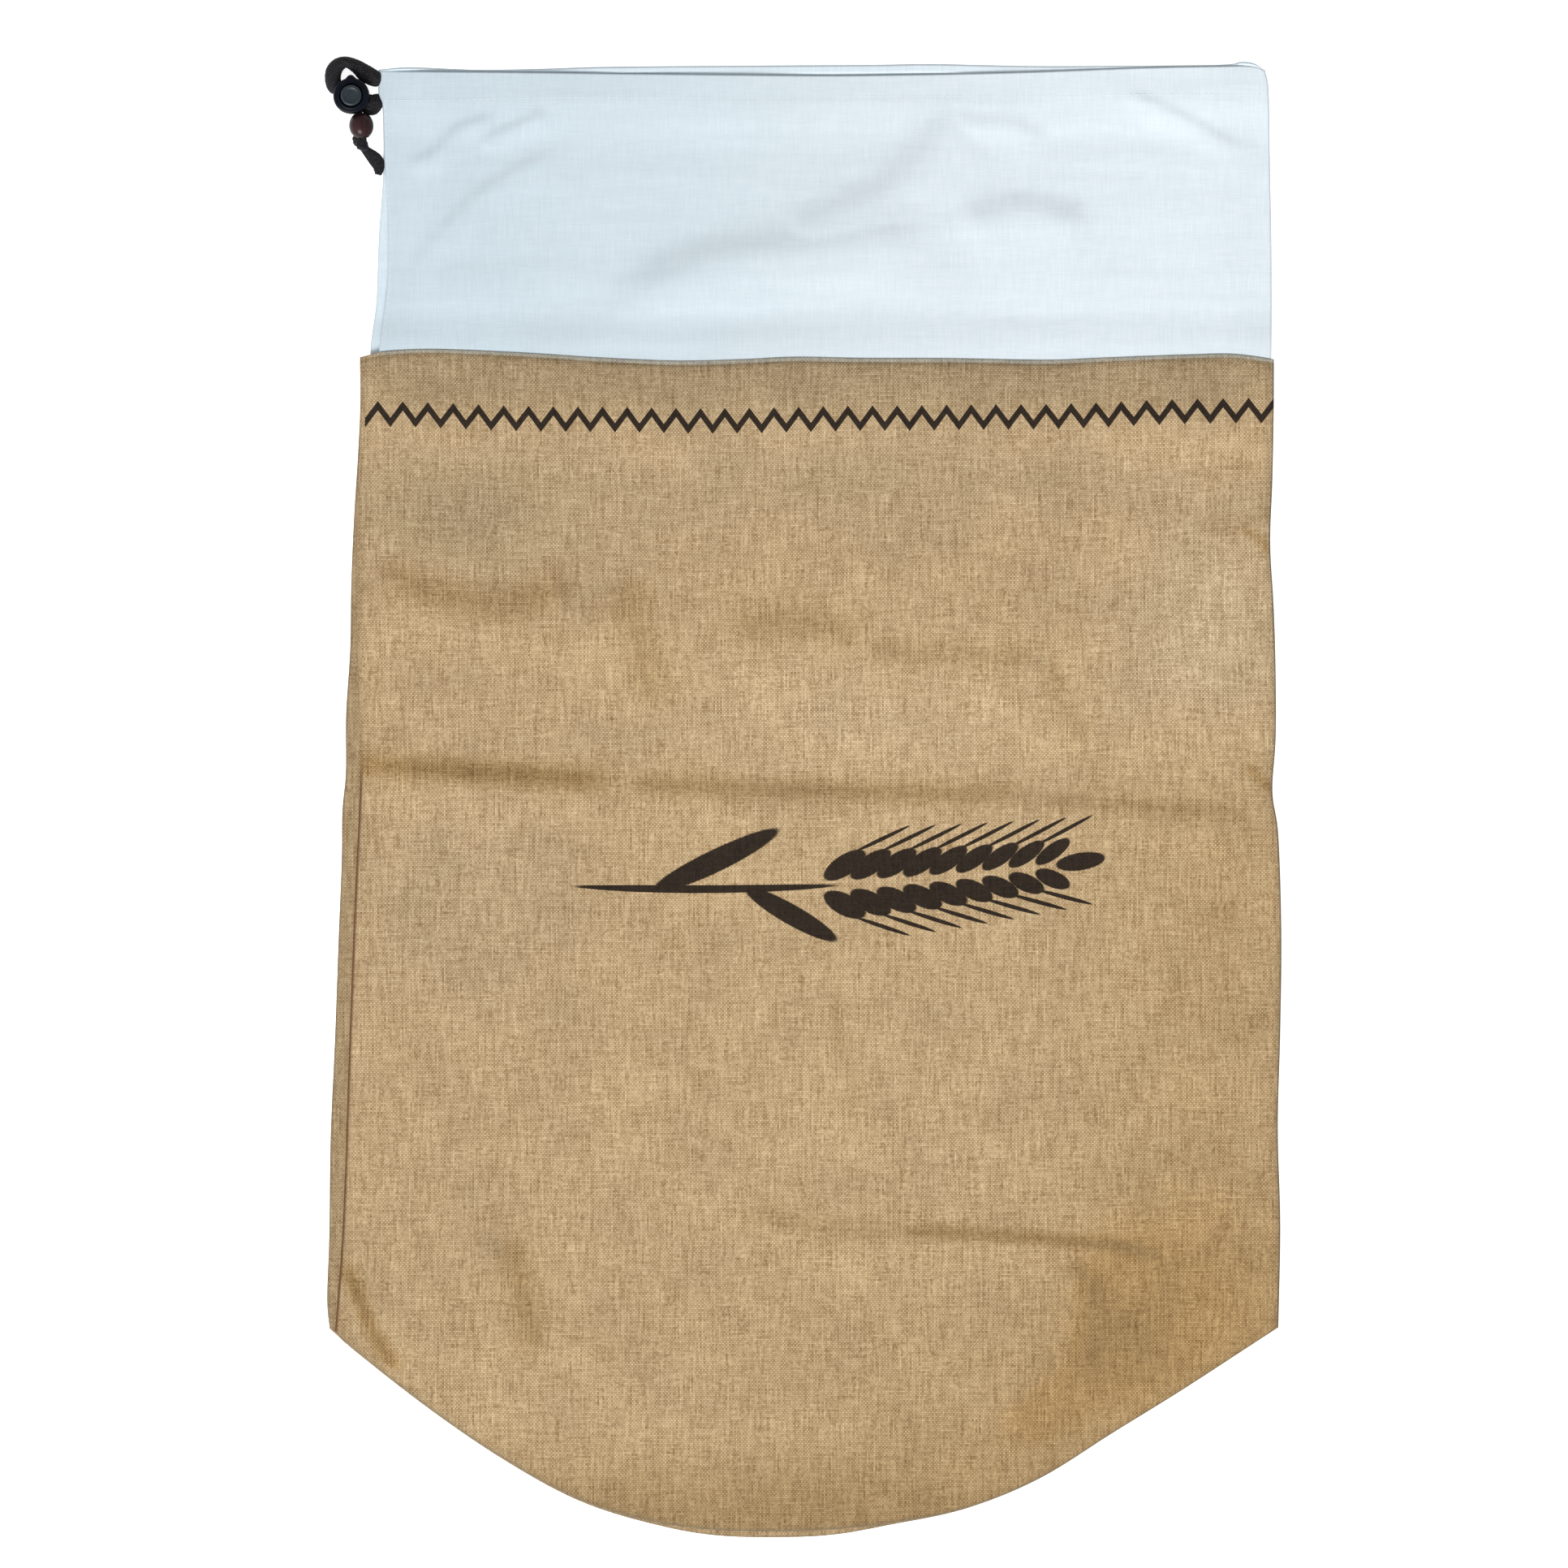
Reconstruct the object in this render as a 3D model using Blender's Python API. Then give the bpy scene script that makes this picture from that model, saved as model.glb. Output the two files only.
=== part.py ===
"""Drawstring food storage bag lying flat.

Two shield-shaped linen panels are sewn together round the sides and the bottom. A thin cotton
collar of two layers rises out of the mouth and closes on a braided cord. The cord's two ends run
through a push-button cord lock, a bead and a knot at the collar's upper left corner.

Metres, +Z up. The bag lies on z = 0 with its mouth towards +Y. The origin is on the floor, in the
middle of the bounding box of the cloth. Tables are in millimetres and turned to metres by MM.
"""
import math

import bmesh
import bpy
import numpy as np
from mathutils import Vector

MM = 0.001

# Layers, in millimetres.
CLOTH = 1.0            # thickness of one layer of cloth
GAP = 0.3              # air between two layers that touch
HEM_EXTRA = 1.2        # what the turned hem, the cord's channel, adds to a collar layer
HEM_HEIGHT = 11.0      # from the collar's top edge down to the hem's stitching
LOFT = 1.1             # air that keeps the middle of an upper layer off the one below

# The collar's lower edge is tucked into the bag's mouth.
MOUTH_Y = 165.0
TUCK = 16.0            # how far the collar reaches into the mouth
STEP_RUN = 14.0        # run over which a layer comes down past the edge that it covers
MOUTH_RUN = 28.0       # run over which the front panel comes down inside the mouth

# Cord and hardware, in millimetres.
CORD_R = 2.5           # braided cord, free
PINCHED_R = 1.5        # the same cord drawn through the bead
LOCK_AT = (-167.9, 260.0)
LOCK_R = 6.6
LOCK_HEIGHT = 8.4
LOCK_EDGE = 1.1        # rounding of the lock's upper and lower edges
BORE_R = 4.2
BORE_FLOOR = 1.1
BUTTON_R = 3.85
BUTTON_STANDS = 1.6    # how far the button stands out of the lock
BUTTON_DEPTH = 3.9     # how far it reaches into the lock, which leaves 3.4 mm of travel
SOCKET_LENGTH = 6.0    # cut from a cord's end out through the lock's side
BEAD_AT = (-164.45, 249.4)
BEAD_R = 4.5
KNOT_AT = (-164.6, 242.3)
KNOT_HALF = (2.85, 2.25, 2.4)
TAIL_THICK = 1.8

# Outlines: x, y in millimetres. Lower and upper edges run left to right, sides run upwards.
FRONT_LOWER = [
    (-174.0, -196.4), (-165.6, -203.9), (-138.6, -225.0), (-111.6, -243.4), (-84.6, -258.1),
    (-57.6, -266.4), (-30.6, -269.9), (5.4, -269.8), (32.4, -267.1), (59.4, -261.6), (86.4, -250.6),
    (113.4, -233.9), (140.4, -217.2), (174.6, -195.0),
]
FRONT_UPPER = [
    (-164.8, 163.5), (-160.5, 164.6), (-155.4, 165.8), (-141.6, 166.5), (-125.4, 166.2),
    (-101.1, 165.0), (-76.8, 163.4), (-48.0, 162.2), (-24.0, 162.7), (-3.9, 163.6), (20.4, 163.2),
    (52.8, 163.1), (89.0, 162.5), (109.5, 163.3), (141.9, 164.5), (158.1, 164.7), (172.9, 162.8),
]
FRONT_LEFT = [
    (-174.0, -196.4), (-171.0, -154.4), (-168.9, -94.4), (-166.6, -34.4), (-164.7, 10.7),
    (-165.7, 55.7), (-165.7, 100.7), (-164.9, 127.6), (-164.5, 145.7), (-164.8, 163.5),
]
BAG_RIGHT = [
    (174.6, -195.0), (175.3, -157.3), (174.4, -121.3), (175.3, -85.3), (175.7, -49.4), (174.6, -13.3),
    (172.4, 3.0), (173.6, 22.6), (173.6, 46.6), (172.9, 70.6), (171.6, 94.6), (172.4, 118.6),
    (172.8, 142.7), (172.9, 162.8),
]
BACK_LOWER = [
    (-176.1, -195.4), (-165.6, -204.7), (-138.6, -225.7), (-111.6, -244.1), (-84.6, -258.9),
    (-57.6, -267.6), (-30.6, -272.3), (5.4, -272.3), (32.4, -268.0), (59.4, -262.2), (86.4, -251.2),
    (113.4, -234.4), (140.4, -217.7), (174.6, -195.4),
]
BACK_UPPER = [(-164.9, 162.0), (-87.9, 161.4), (2.1, 160.6), (74.1, 161.0), (172.9, 162.2)]
BACK_LEFT = [
    (-176.1, -195.4), (-177.0, -184.3), (-176.2, -160.3), (-175.7, -124.3), (-174.1, -88.3),
    (-172.8, -52.4), (-171.6, -22.0), (-171.4, -4.3), (-170.1, 10.0), (-170.0, 31.6), (-168.5, 55.6),
    (-168.1, 79.6), (-167.1, 103.6), (-165.6, 127.6), (-164.8, 145.0), (-164.9, 162.0),
]
COLLAR_LOWER = [(-158.3, 149.0), (171.0, 149.0)]
COLLAR_UPPER = [
    (-157.9, 269.5), (-105.9, 269.0), (-57.9, 268.4), (2.1, 267.8), (32.1, 268.0), (77.1, 268.9),
    (122.1, 270.6), (150.0, 271.2), (164.0, 271.3), (169.6, 269.6),
]
COLLAR_LEFT = [
    (-158.3, 149.0), (-157.7, 165.9), (-156.9, 174.2), (-155.6, 184.1), (-154.6, 195.8),
    (-154.7, 218.3), (-155.6, 232.0), (-156.1, 245.0), (-156.6, 256.5), (-157.9, 260.5),
    (-157.9, 269.5),
]
COLLAR_RIGHT = [
    (171.0, 149.0), (172.0, 165.0), (172.1, 200.0), (171.5, 235.7), (171.0, 262.0), (169.6, 269.6),
]
LINING_LOWER = [(-161.4, 149.0), (170.7, 149.0)]
LINING_UPPER = [
    (-157.9, 269.8), (-146.0, 270.7), (-121.0, 269.8), (-97.0, 270.2), (-73.0, 270.9), (-25.0, 271.3),
    (23.0, 271.6), (47.0, 271.9), (83.0, 271.2), (120.0, 271.3), (152.0, 271.8), (164.0, 271.7),
    (169.6, 269.4),
]
LINING_LEFT = [
    (-161.4, 149.0), (-161.0, 164.6), (-160.7, 170.0), (-159.4, 179.0), (-158.7, 186.7),
    (-158.2, 201.8), (-157.7, 211.7), (-156.9, 222.0), (-156.2, 235.0), (-156.6, 256.5),
    (-157.9, 260.5), (-157.9, 269.8),
]
LINING_RIGHT = [(x - 0.3, y) for x, y in COLLAR_RIGHT[:-1]] + [(169.6, 269.4)]

# Folds: x, y of both ends, rise and half width, in millimetres. All of them are soft ridges.
FRONT_FOLDS = [
    # pack fold across the middle
    (-164.0, 9.7, -70.0, 5.2, 1.5, 16.0),
    (-70.0, 5.2, 32.0, 0.7, 1.3, 16.0),
    (32.0, 0.7, 158.0, -6.4, 1.2, 16.0),
    # slacker folds above it
    (-154.0, 80.0, -118.0, 70.0, 1.1, 15.0),
    (-118.0, 70.0, -88.0, 80.0, 0.9, 15.0),
    (-66.0, 76.0, -51.0, 36.0, 0.9, 15.0),
    (-28.0, 61.0, 71.0, 52.0, 0.9, 16.0),
    (71.0, 52.0, 104.0, 21.0, 0.9, 15.0),
    # second pack fold, low on the right, and the soft ridge that falls from it
    (-19.0, -155.0, 62.0, -165.0, 0.9, 15.0),
    (62.0, -165.0, 134.0, -176.0, 1.0, 15.0),
    (100.0, -168.0, 98.0, -192.0, 1.4, 16.0),
    (98.0, -192.0, 72.0, -232.0, 1.3, 16.0),
    # lower left corner and right edge
    (-112.0, -163.0, -104.0, -203.0, 1.0, 14.0),
    (150.0, 100.0, 170.0, 84.0, 0.9, 13.0),
    (158.0, 14.0, 171.0, -3.0, 0.9, 13.0),
    (9.0, -70.0, 17.0, -122.0, 0.6, 18.0),
]
COLLAR_FOLDS = [
    # long ridge that rises from left to right, its branch upwards and its faint end
    (-64.0, 183.0, -26.0, 201.0, 1.1, 15.0),
    (-26.0, 201.0, 44.0, 207.0, 1.2, 15.0),
    (37.0, 226.0, 58.0, 249.0, 1.1, 14.0),
    (61.0, 215.0, 104.0, 215.0, 0.8, 13.0),
    # arcs in the upper corners
    (112.0, 262.0, 147.0, 246.0, 0.8, 13.0),
    (147.0, 246.0, 168.0, 237.0, 0.8, 13.0),
    (-144.0, 188.0, -127.0, 215.0, 0.8, 14.0),
    (-127.0, 215.0, -82.0, 245.0, 0.8, 14.0),
]

# The cord's centrelines: x, y, z in millimetres. The strands start at the collar's upper left corner.
# Each first and last stretch is straight, out of the collar's hem or into the lock.
LOOP_ROUTE = [
    (-158.15, 266.5, 2.9), (-159.4, 266.6, 2.9), (-162.6, 268.4, 2.9), (-166.0, 270.9, 3.0),
    (-169.6, 272.5, 3.0), (-172.4, 271.9, 3.0), (-174.4, 269.6, 2.9), (-174.9, 266.6, 2.8),
    (-174.3, 263.8, 2.8), (-173.0, 262.3, 2.8),
]
RETURN_ROUTE = [
    (-158.0, 257.3, 2.9), (-158.9, 256.9, 2.9), (-160.2, 256.8, 2.85), (-161.5, 257.6, 2.8),
    (-162.75, 258.9, 2.8),
]
DROP_ROUTE = [(-165.2, 255.1, 3.8), (-164.83, 252.2, 3.8), (-164.45, 249.3, 3.8), (-163.88, 244.85, 3.8)]
# The cord's cut end lies flat: x, y of the middle of each section and half its width.
TAIL_SECTIONS = [
    (-163.0, 240.0, 1.2), (-162.0, 239.2, 1.6), (-160.8, 238.1, 2.0), (-159.2, 236.2, 2.3),
    (-158.35, 234.3, 1.75), (-158.1, 232.3, 1.35), (-158.05, 231.5, 1.2),
]


def clear_scene():
    for obj in list(bpy.data.objects):
        bpy.data.objects.remove(obj, do_unlink=True)


def material(name, colour, roughness):
    made = bpy.data.materials.new(name)
    made.use_nodes = True
    shader = made.node_tree.nodes["Principled BSDF"]
    shader.inputs["Base Color"].default_value = (*colour, 1.0)
    shader.inputs["Roughness"].default_value = roughness
    shader.inputs["Metallic"].default_value = 0.0
    return made


def add_object(name, data, slot):
    obj = bpy.data.objects.new(name, data)
    bpy.context.scene.collection.objects.link(obj)
    data.materials.append(slot)
    return obj


def fade(value, start, end):
    """0 at start, 1 at end, with a soft step between."""
    t = min(max((value - start) / (end - start), 0.0), 1.0)
    return t * t * (3.0 - 2.0 * t)


def smooth_line(points, count):
    """count + 1 points, evenly spaced by length, on a Catmull-Rom curve through the points."""
    points = [Vector(p) for p in points]
    ends = [points[0] * 2 - points[1]] + points + [points[-1] * 2 - points[-2]]
    fine = [points[0]]
    for a, b, c, d in zip(ends, ends[1:], ends[2:], ends[3:]):
        for step in range(1, 17):
            t = step / 16
            fine.append(
                0.5 * (2 * b + (c - a) * t + (2 * a - 5 * b + 4 * c - d) * t * t
                       + (3 * b - a - 3 * c + d) * t ** 3)
            )
    run = np.concatenate([[0.0], np.cumsum([(q - p).length for p, q in zip(fine, fine[1:])])])
    spaced = np.linspace(0.0, run[-1], count + 1)
    axes = [np.interp(spaced, run, [p[i] for p in fine]) for i in range(len(fine[0]))]
    return [Vector(p) for p in zip(*axes)]


def fold_rise(x, y, folds):
    """Height of the highest ridge that reaches this point."""
    highest = 0.0
    for x0, y0, x1, y1, rise, half in folds:
        run = (x1 - x0) ** 2 + (y1 - y0) ** 2
        along = min(max(((x - x0) * (x1 - x0) + (y - y0) * (y1 - y0)) / run, 0.0), 1.0)
        away = math.hypot(x - x0 - along * (x1 - x0), y - y0 - along * (y1 - y0)) / half
        highest = max(highest, rise * (1 - min(away, 1.0) ** 2) ** 2)
    return highest


def inner(u, v, margin=0.07):
    """0 on a sheet's rim and 1 inside it."""
    return (fade(u, 0, margin) * fade(1 - u, 0, margin) * fade(v, 0, margin) * fade(1 - v, 0, margin))


def cloth_sheet(name, lower, upper, left, right, columns, rows, underside, thickness, slot):
    """A sheet between four edges, with its underside and thickness as functions of u, v, x and y."""
    low = smooth_line(lower, columns)
    high = smooth_line(upper, columns)
    west = smooth_line(left, rows)
    east = smooth_line(right, rows)
    mesh = bmesh.new()
    layers = ([], [])
    for j in range(rows + 1):
        v = j / rows
        for i in range(columns + 1):
            u = i / columns
            corners = ((1 - u) * (1 - v) * low[0] + u * (1 - v) * low[-1]
                       + (1 - u) * v * high[0] + u * v * high[-1])
            x, y = (1 - v) * low[i] + v * high[i] + (1 - u) * west[j] + u * east[j] - corners
            base = underside(u, v, x, y)
            layers[0].append(mesh.verts.new((x * MM, y * MM, base * MM)))
            layers[1].append(mesh.verts.new((x * MM, y * MM, (base + thickness(u, v, x, y)) * MM)))
    for j in range(rows):
        for i in range(columns):
            a = j * (columns + 1) + i
            ring = (a, a + 1, a + columns + 2, a + columns + 1)
            mesh.faces.new([layers[1][k] for k in ring])
            mesh.faces.new([layers[0][k] for k in reversed(ring)])
    rim = list(range(columns))
    rim += [j * (columns + 1) + columns for j in range(rows)]
    rim += [rows * (columns + 1) + i for i in range(columns, 0, -1)]
    rim += [j * (columns + 1) for j in range(rows, 0, -1)]
    for a, b in zip(rim, rim[1:] + rim[:1]):
        mesh.faces.new((layers[0][a], layers[0][b], layers[1][b], layers[1][a]))
    data = bpy.data.meshes.new(name)
    mesh.to_mesh(data)
    mesh.free()
    return add_object(name, data, slot)


def plain_thickness(u, v, x, y):
    return CLOTH


def hem_thickness(u, v, x, y):
    """A collar layer, thicker where its upper edge is turned into the cord's channel."""
    return CLOTH + HEM_EXTRA * fade(v, 0.86, 0.93)


def lining_underside(u, v, x, y):
    """The collar's back layer steps down from the back panel's mouth edge to the floor."""
    return (CLOTH + GAP) * (1 - fade(y, MOUTH_Y + 2, MOUTH_Y + 2 + STEP_RUN))


def collar_underside(u, v, x, y):
    """The collar's front layer lies on its back layer, with the collar's folds."""
    free = inner(u, v) * fade(y, MOUTH_Y, MOUTH_Y + 2 * STEP_RUN)
    slack = free * (LOFT + fold_rise(x, y, COLLAR_FOLDS))
    return lining_underside(u, v, x, y) + hem_thickness(u, v, x, y) + GAP + slack


def front_underside(u, v, x, y):
    """The front panel lies on the back panel, and inside the mouth on the collar's two layers."""
    over_collar = fade(y, MOUTH_Y - TUCK - 2 - MOUTH_RUN, MOUTH_Y - TUCK - 2)
    slack = inner(u, v) * (LOFT + fold_rise(x, y, FRONT_FOLDS))
    return CLOTH + GAP + 2 * (CLOTH + GAP) * over_collar + slack


def make_cloth():
    linen = material("linen", (0.47, 0.34, 0.19), 0.95)
    cotton = material("cotton", (0.69, 0.79, 0.84), 0.85)
    cloth_sheet("back_panel", BACK_LOWER, BACK_UPPER, BACK_LEFT, BAG_RIGHT[:-1] + [(172.9, 162.2)],
                16, 20, lambda u, v, x, y: 0.0, plain_thickness, linen)
    cloth_sheet("collar_back", LINING_LOWER, LINING_UPPER, LINING_LEFT, LINING_RIGHT,
                30, 14, lining_underside, hem_thickness, cotton)
    cloth_sheet("collar_front", COLLAR_LOWER, COLLAR_UPPER, COLLAR_LEFT, COLLAR_RIGHT,
                30, 14, collar_underside, hem_thickness, cotton)
    cloth_sheet("front_panel", FRONT_LOWER, FRONT_UPPER, FRONT_LEFT, BAG_RIGHT,
                32, 40, front_underside, plain_thickness, linen)


def turned(name, profile, at, slot, sides=40):
    """A body turned round the vertical through at, from radius and height pairs from axis to axis."""
    mesh = bmesh.new()
    verts = [mesh.verts.new((r * MM, 0.0, z * MM)) for r, z in profile]
    edges = [mesh.edges.new(pair) for pair in zip(verts, verts[1:])]
    bmesh.ops.spin(mesh, geom=verts + edges, axis=(0, 0, 1), cent=(0, 0, 0), steps=sides,
                   angle=2 * math.pi, use_duplicate=False)
    bmesh.ops.remove_doubles(mesh, verts=mesh.verts, dist=1e-6)
    bmesh.ops.recalc_face_normals(mesh, faces=mesh.faces)
    data = bpy.data.meshes.new(name)
    mesh.to_mesh(data)
    mesh.free()
    data.shade_smooth()
    data.set_sharp_from_angle(angle=math.radians(35))
    obj = add_object(name, data, slot)
    obj.location = Vector((*at, 0.0)) * MM
    return obj


def arc(centre_r, centre_z, radius, start, end, steps):
    """Radius and height pairs along an arc, with its angles in degrees."""
    angles = [math.radians(start + (end - start) * k / steps) for k in range(steps + 1)]
    return [(centre_r + radius * math.cos(a), centre_z + radius * math.sin(a)) for a in angles]


def cut_with_cylinder(obj, start, end, radius, name):
    """Cuts a round hole between two points, in millimetres."""
    start, end = Vector(start) * MM, Vector(end) * MM
    mesh = bmesh.new()
    bmesh.ops.create_cone(mesh, cap_ends=True, segments=20, radius1=radius * MM,
                          radius2=radius * MM, depth=(end - start).length)
    data = bpy.data.meshes.new(name)
    mesh.to_mesh(data)
    mesh.free()
    cutter = bpy.data.objects.new(name, data)
    bpy.context.scene.collection.objects.link(cutter)
    cutter.location = (start + end) / 2
    cutter.rotation_mode = "QUATERNION"
    cutter.rotation_quaternion = Vector((0, 0, 1)).rotation_difference(end - start)
    cutter.hide_render = True
    cutter.display_type = "WIRE"
    cut = obj.modifiers.new(name, "BOOLEAN")
    cut.operation = "DIFFERENCE"
    cut.solver = "EXACT"
    cut.object = cutter


def make_lock():
    """The lock's body with the button's bore and a socket for each stretch of cord, and the button."""
    black = material("lock_plastic", (0.02, 0.022, 0.03), 0.35)
    top = LOCK_HEIGHT
    profile = [(0.0, 0.0)]
    profile += arc(LOCK_R - LOCK_EDGE, LOCK_EDGE, LOCK_EDGE, -90, 0, 3)
    profile += arc(LOCK_R - LOCK_EDGE, top - LOCK_EDGE, LOCK_EDGE, 0, 90, 3)
    profile += [(BORE_R, top), (BORE_R, BORE_FLOOR), (0.0, BORE_FLOOR)]
    body = turned("lock_body", profile, LOCK_AT, black)
    for name, end, before, radius in (("loop_socket", LOOP_ROUTE[-1], LOOP_ROUTE[-2], CORD_R),
                                      ("return_socket", RETURN_ROUTE[-1], RETURN_ROUTE[-2], CORD_R),
                                      ("drop_socket", DROP_ROUTE[0], DROP_ROUTE[1], PINCHED_R)):
        end, before = Vector(end), Vector(before)
        back = (before - end).normalized()
        cut_with_cylinder(body, end - back * GAP, end + back * SOCKET_LENGTH, radius + GAP, name)
    low = top - BUTTON_DEPTH
    head = top + BUTTON_STANDS
    profile = [(0.0, low), (BUTTON_R - 0.3, low), (BUTTON_R, low + 0.3)]
    profile += arc(BUTTON_R - 0.8, head - 0.8, 0.8, 0, 75, 3)
    profile += [(BUTTON_R * 0.45, head - 0.1), (0.0, head)]
    turned("lock_button", profile, LOCK_AT, black)


def cord(name, route, radius, slot):
    """A tube along a smooth curve through the route's points, with straight ends."""
    bend = route[1:-1]
    length = sum((Vector(q) - Vector(p)).length for p, q in zip(bend, bend[1:]))
    points = smooth_line(bend, max(1, round(length / (2 * radius * 0.8))))
    points = [Vector(route[0])] + points + [Vector(route[-1])]
    data = bpy.data.curves.new(name, "CURVE")
    data.dimensions = "3D"
    data.bevel_depth = radius * MM
    data.bevel_resolution = 2 if radius < 2 else 3
    data.use_fill_caps = True
    spline = data.splines.new("POLY")
    spline.points.add(len(points) - 1)
    for point, place in zip(spline.points, points):
        point.co = (*(place * MM), 1.0)
    return add_object(name, data, slot)


def rounded_body(name, at, half, slot, lumps=0.0):
    """An ellipsoid round at, in millimetres, with a knot's lumps where asked."""
    mesh = bmesh.new()
    bmesh.ops.create_uvsphere(mesh, u_segments=20, v_segments=12, radius=1.0)
    for vert in mesh.verts:
        x, y, z = vert.co
        turn = math.atan2(z, x)
        swell = 1.0 + lumps * math.cos(3 * turn + 2.2 * y) * math.sqrt(max(0.0, 1 - y * y))
        vert.co = (x * half[0] * swell * MM, y * half[1] * MM, z * half[2] * swell * MM)
    data = bpy.data.meshes.new(name)
    mesh.to_mesh(data)
    mesh.free()
    data.shade_smooth()
    obj = add_object(name, data, slot)
    obj.location = Vector(at) * MM
    return obj


def make_tail(slot):
    """The cord's cut end, a flat braid that widens away from the knot."""
    points = [Vector(row[:2]) for row in TAIL_SECTIONS]
    mesh = bmesh.new()
    sections = []
    for k, (x, y, half) in enumerate(TAIL_SECTIONS):
        along = points[min(k + 1, len(points) - 1)] - points[max(k - 1, 0)]
        across = Vector((-along.y, along.x)).normalized() * half
        corners = []
        for side, z in ((-1, 0.25), (-0.7, 0.0), (0.7, 0.0), (1, 0.25), (1, 0.75), (0.7, 1.0),
                        (-0.7, 1.0), (-1, 0.75)):
            place = Vector((x, y)) + across * side
            corners.append(mesh.verts.new((place.x * MM, place.y * MM, (0.2 + TAIL_THICK * z) * MM)))
        sections.append(corners)
    for near, far in zip(sections, sections[1:]):
        for k in range(8):
            mesh.faces.new((near[k], near[(k + 1) % 8], far[(k + 1) % 8], far[k]))
    mesh.faces.new(list(reversed(sections[0])))
    mesh.faces.new(sections[-1])
    bmesh.ops.recalc_face_normals(mesh, faces=mesh.faces)
    data = bpy.data.meshes.new("cord_tail")
    mesh.to_mesh(data)
    mesh.free()
    add_object("cord_tail", data, slot)


def make_cord():
    """The two strands that leave the collar, the stretch through the bead, the knot and the cut end."""
    braid = material("braid", (0.03, 0.03, 0.036), 0.9)
    wood = material("bead_wood", (0.09, 0.03, 0.03), 0.25)
    cord("cord_loop", LOOP_ROUTE, CORD_R, braid)
    cord("cord_return", RETURN_ROUTE, CORD_R, braid)
    cord("cord_drop", DROP_ROUTE, PINCHED_R, braid)
    bead = rounded_body("bead", (*BEAD_AT, BEAD_R + 0.05), (BEAD_R, BEAD_R, BEAD_R), wood)
    cut_with_cylinder(bead, DROP_ROUTE[0], DROP_ROUTE[-1], PINCHED_R + GAP, "bead_bore")
    rounded_body("knot", (*KNOT_AT, 2.5), KNOT_HALF, braid, lumps=0.06)
    make_tail(braid)


clear_scene()
make_cloth()
make_lock()
make_cord()
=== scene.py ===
"""Looks for a drawstring food storage bag that lies flat: two linen panels, a two-layer cotton
collar, a braided drawcord with its cord lock, bead and knot, and the printed band and motif.
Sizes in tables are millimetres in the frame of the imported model, and MM turns them to metres."""

import math

import bmesh
import bpy
import numpy as np
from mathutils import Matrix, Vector


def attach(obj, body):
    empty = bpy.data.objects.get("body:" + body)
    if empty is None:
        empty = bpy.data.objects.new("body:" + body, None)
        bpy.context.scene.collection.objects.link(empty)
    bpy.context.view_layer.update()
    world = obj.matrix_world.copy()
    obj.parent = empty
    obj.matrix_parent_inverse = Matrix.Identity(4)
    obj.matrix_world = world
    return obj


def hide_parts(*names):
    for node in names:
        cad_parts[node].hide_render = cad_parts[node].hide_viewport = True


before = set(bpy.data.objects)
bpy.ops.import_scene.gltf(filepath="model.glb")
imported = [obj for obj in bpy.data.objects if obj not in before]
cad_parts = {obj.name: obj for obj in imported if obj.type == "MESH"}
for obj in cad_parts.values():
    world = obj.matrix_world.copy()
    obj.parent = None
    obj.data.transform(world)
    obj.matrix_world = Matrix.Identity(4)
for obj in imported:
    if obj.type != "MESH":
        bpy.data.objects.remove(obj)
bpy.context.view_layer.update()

# ----------------------------------------
# View, light and floor. The bag lies on a plain pale table top and is seen straight from above
# through a long lens. A soft lamp stands low at the foot of the bag, and the room fills the rest.
# ----------------------------------------
MM = 0.001
VIEW_CENTRE = (-8.1, 5.85)     # what the middle of the picture looks at
VIEW_WIDTH = 579.6             # the picture's side, on the table top
VIEW_HEIGHT = 6000.0
LAMP_FROM = (-0.30, -0.95)     # towards the lamp, seen from above
LAMP_ELEVATION = 36.0


def linear(code):
    """An sRGB hex colour as the linear values that a shader takes."""
    values = [int(code[k:k + 2], 16) / 255 for k in (1, 3, 5)]
    return [v / 12.92 if v <= 0.04045 else ((v + 0.055) / 1.055) ** 2.4 for v in values] + [1.0]


def add_node(tree, kind, inputs=None, give=None, **settings):
    """Adds one node, of a kind named without ShaderNode. Its inputs are values, or sockets that it
    is linked from. Returns its first output in use, or the one that give names, or all of them."""
    node = tree.nodes.new(kind if "Node" in kind else "ShaderNode" + kind)
    for name, value in settings.items():
        setattr(node, name, value)
    for key, value in (inputs or {}).items():
        if isinstance(value, bpy.types.NodeSocket):
            tree.links.new(value, node.inputs[key])
        else:
            node.inputs[key].default_value = value
    if give == "all":
        return node.outputs
    return next((o for o in node.outputs if o.enabled), None) if give is None else node.outputs[give]


def new_material(name, looks):
    """A named material of a Principled shader, with the looks that are the same all over it."""
    made = bpy.data.materials.new(name)
    made.use_nodes = True
    tree = made.node_tree
    tree.nodes.clear()
    shader = add_node(tree, "BsdfPrincipled", looks).node
    add_node(tree, "OutputMaterial", {"Surface": shader.outputs[0]})
    return made, tree, shader


def dress(tree, shader, colour, relief, strength, depth):
    """Gives the shader its colour and the relief that is too fine for the mesh, depth in metres."""
    tree.links.new(colour, shader.inputs["Base Color"])
    bump = add_node(tree, "Bump", {"Height": relief, "Strength": strength, "Distance": depth})
    tree.links.new(bump, shader.inputs["Normal"])


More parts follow.
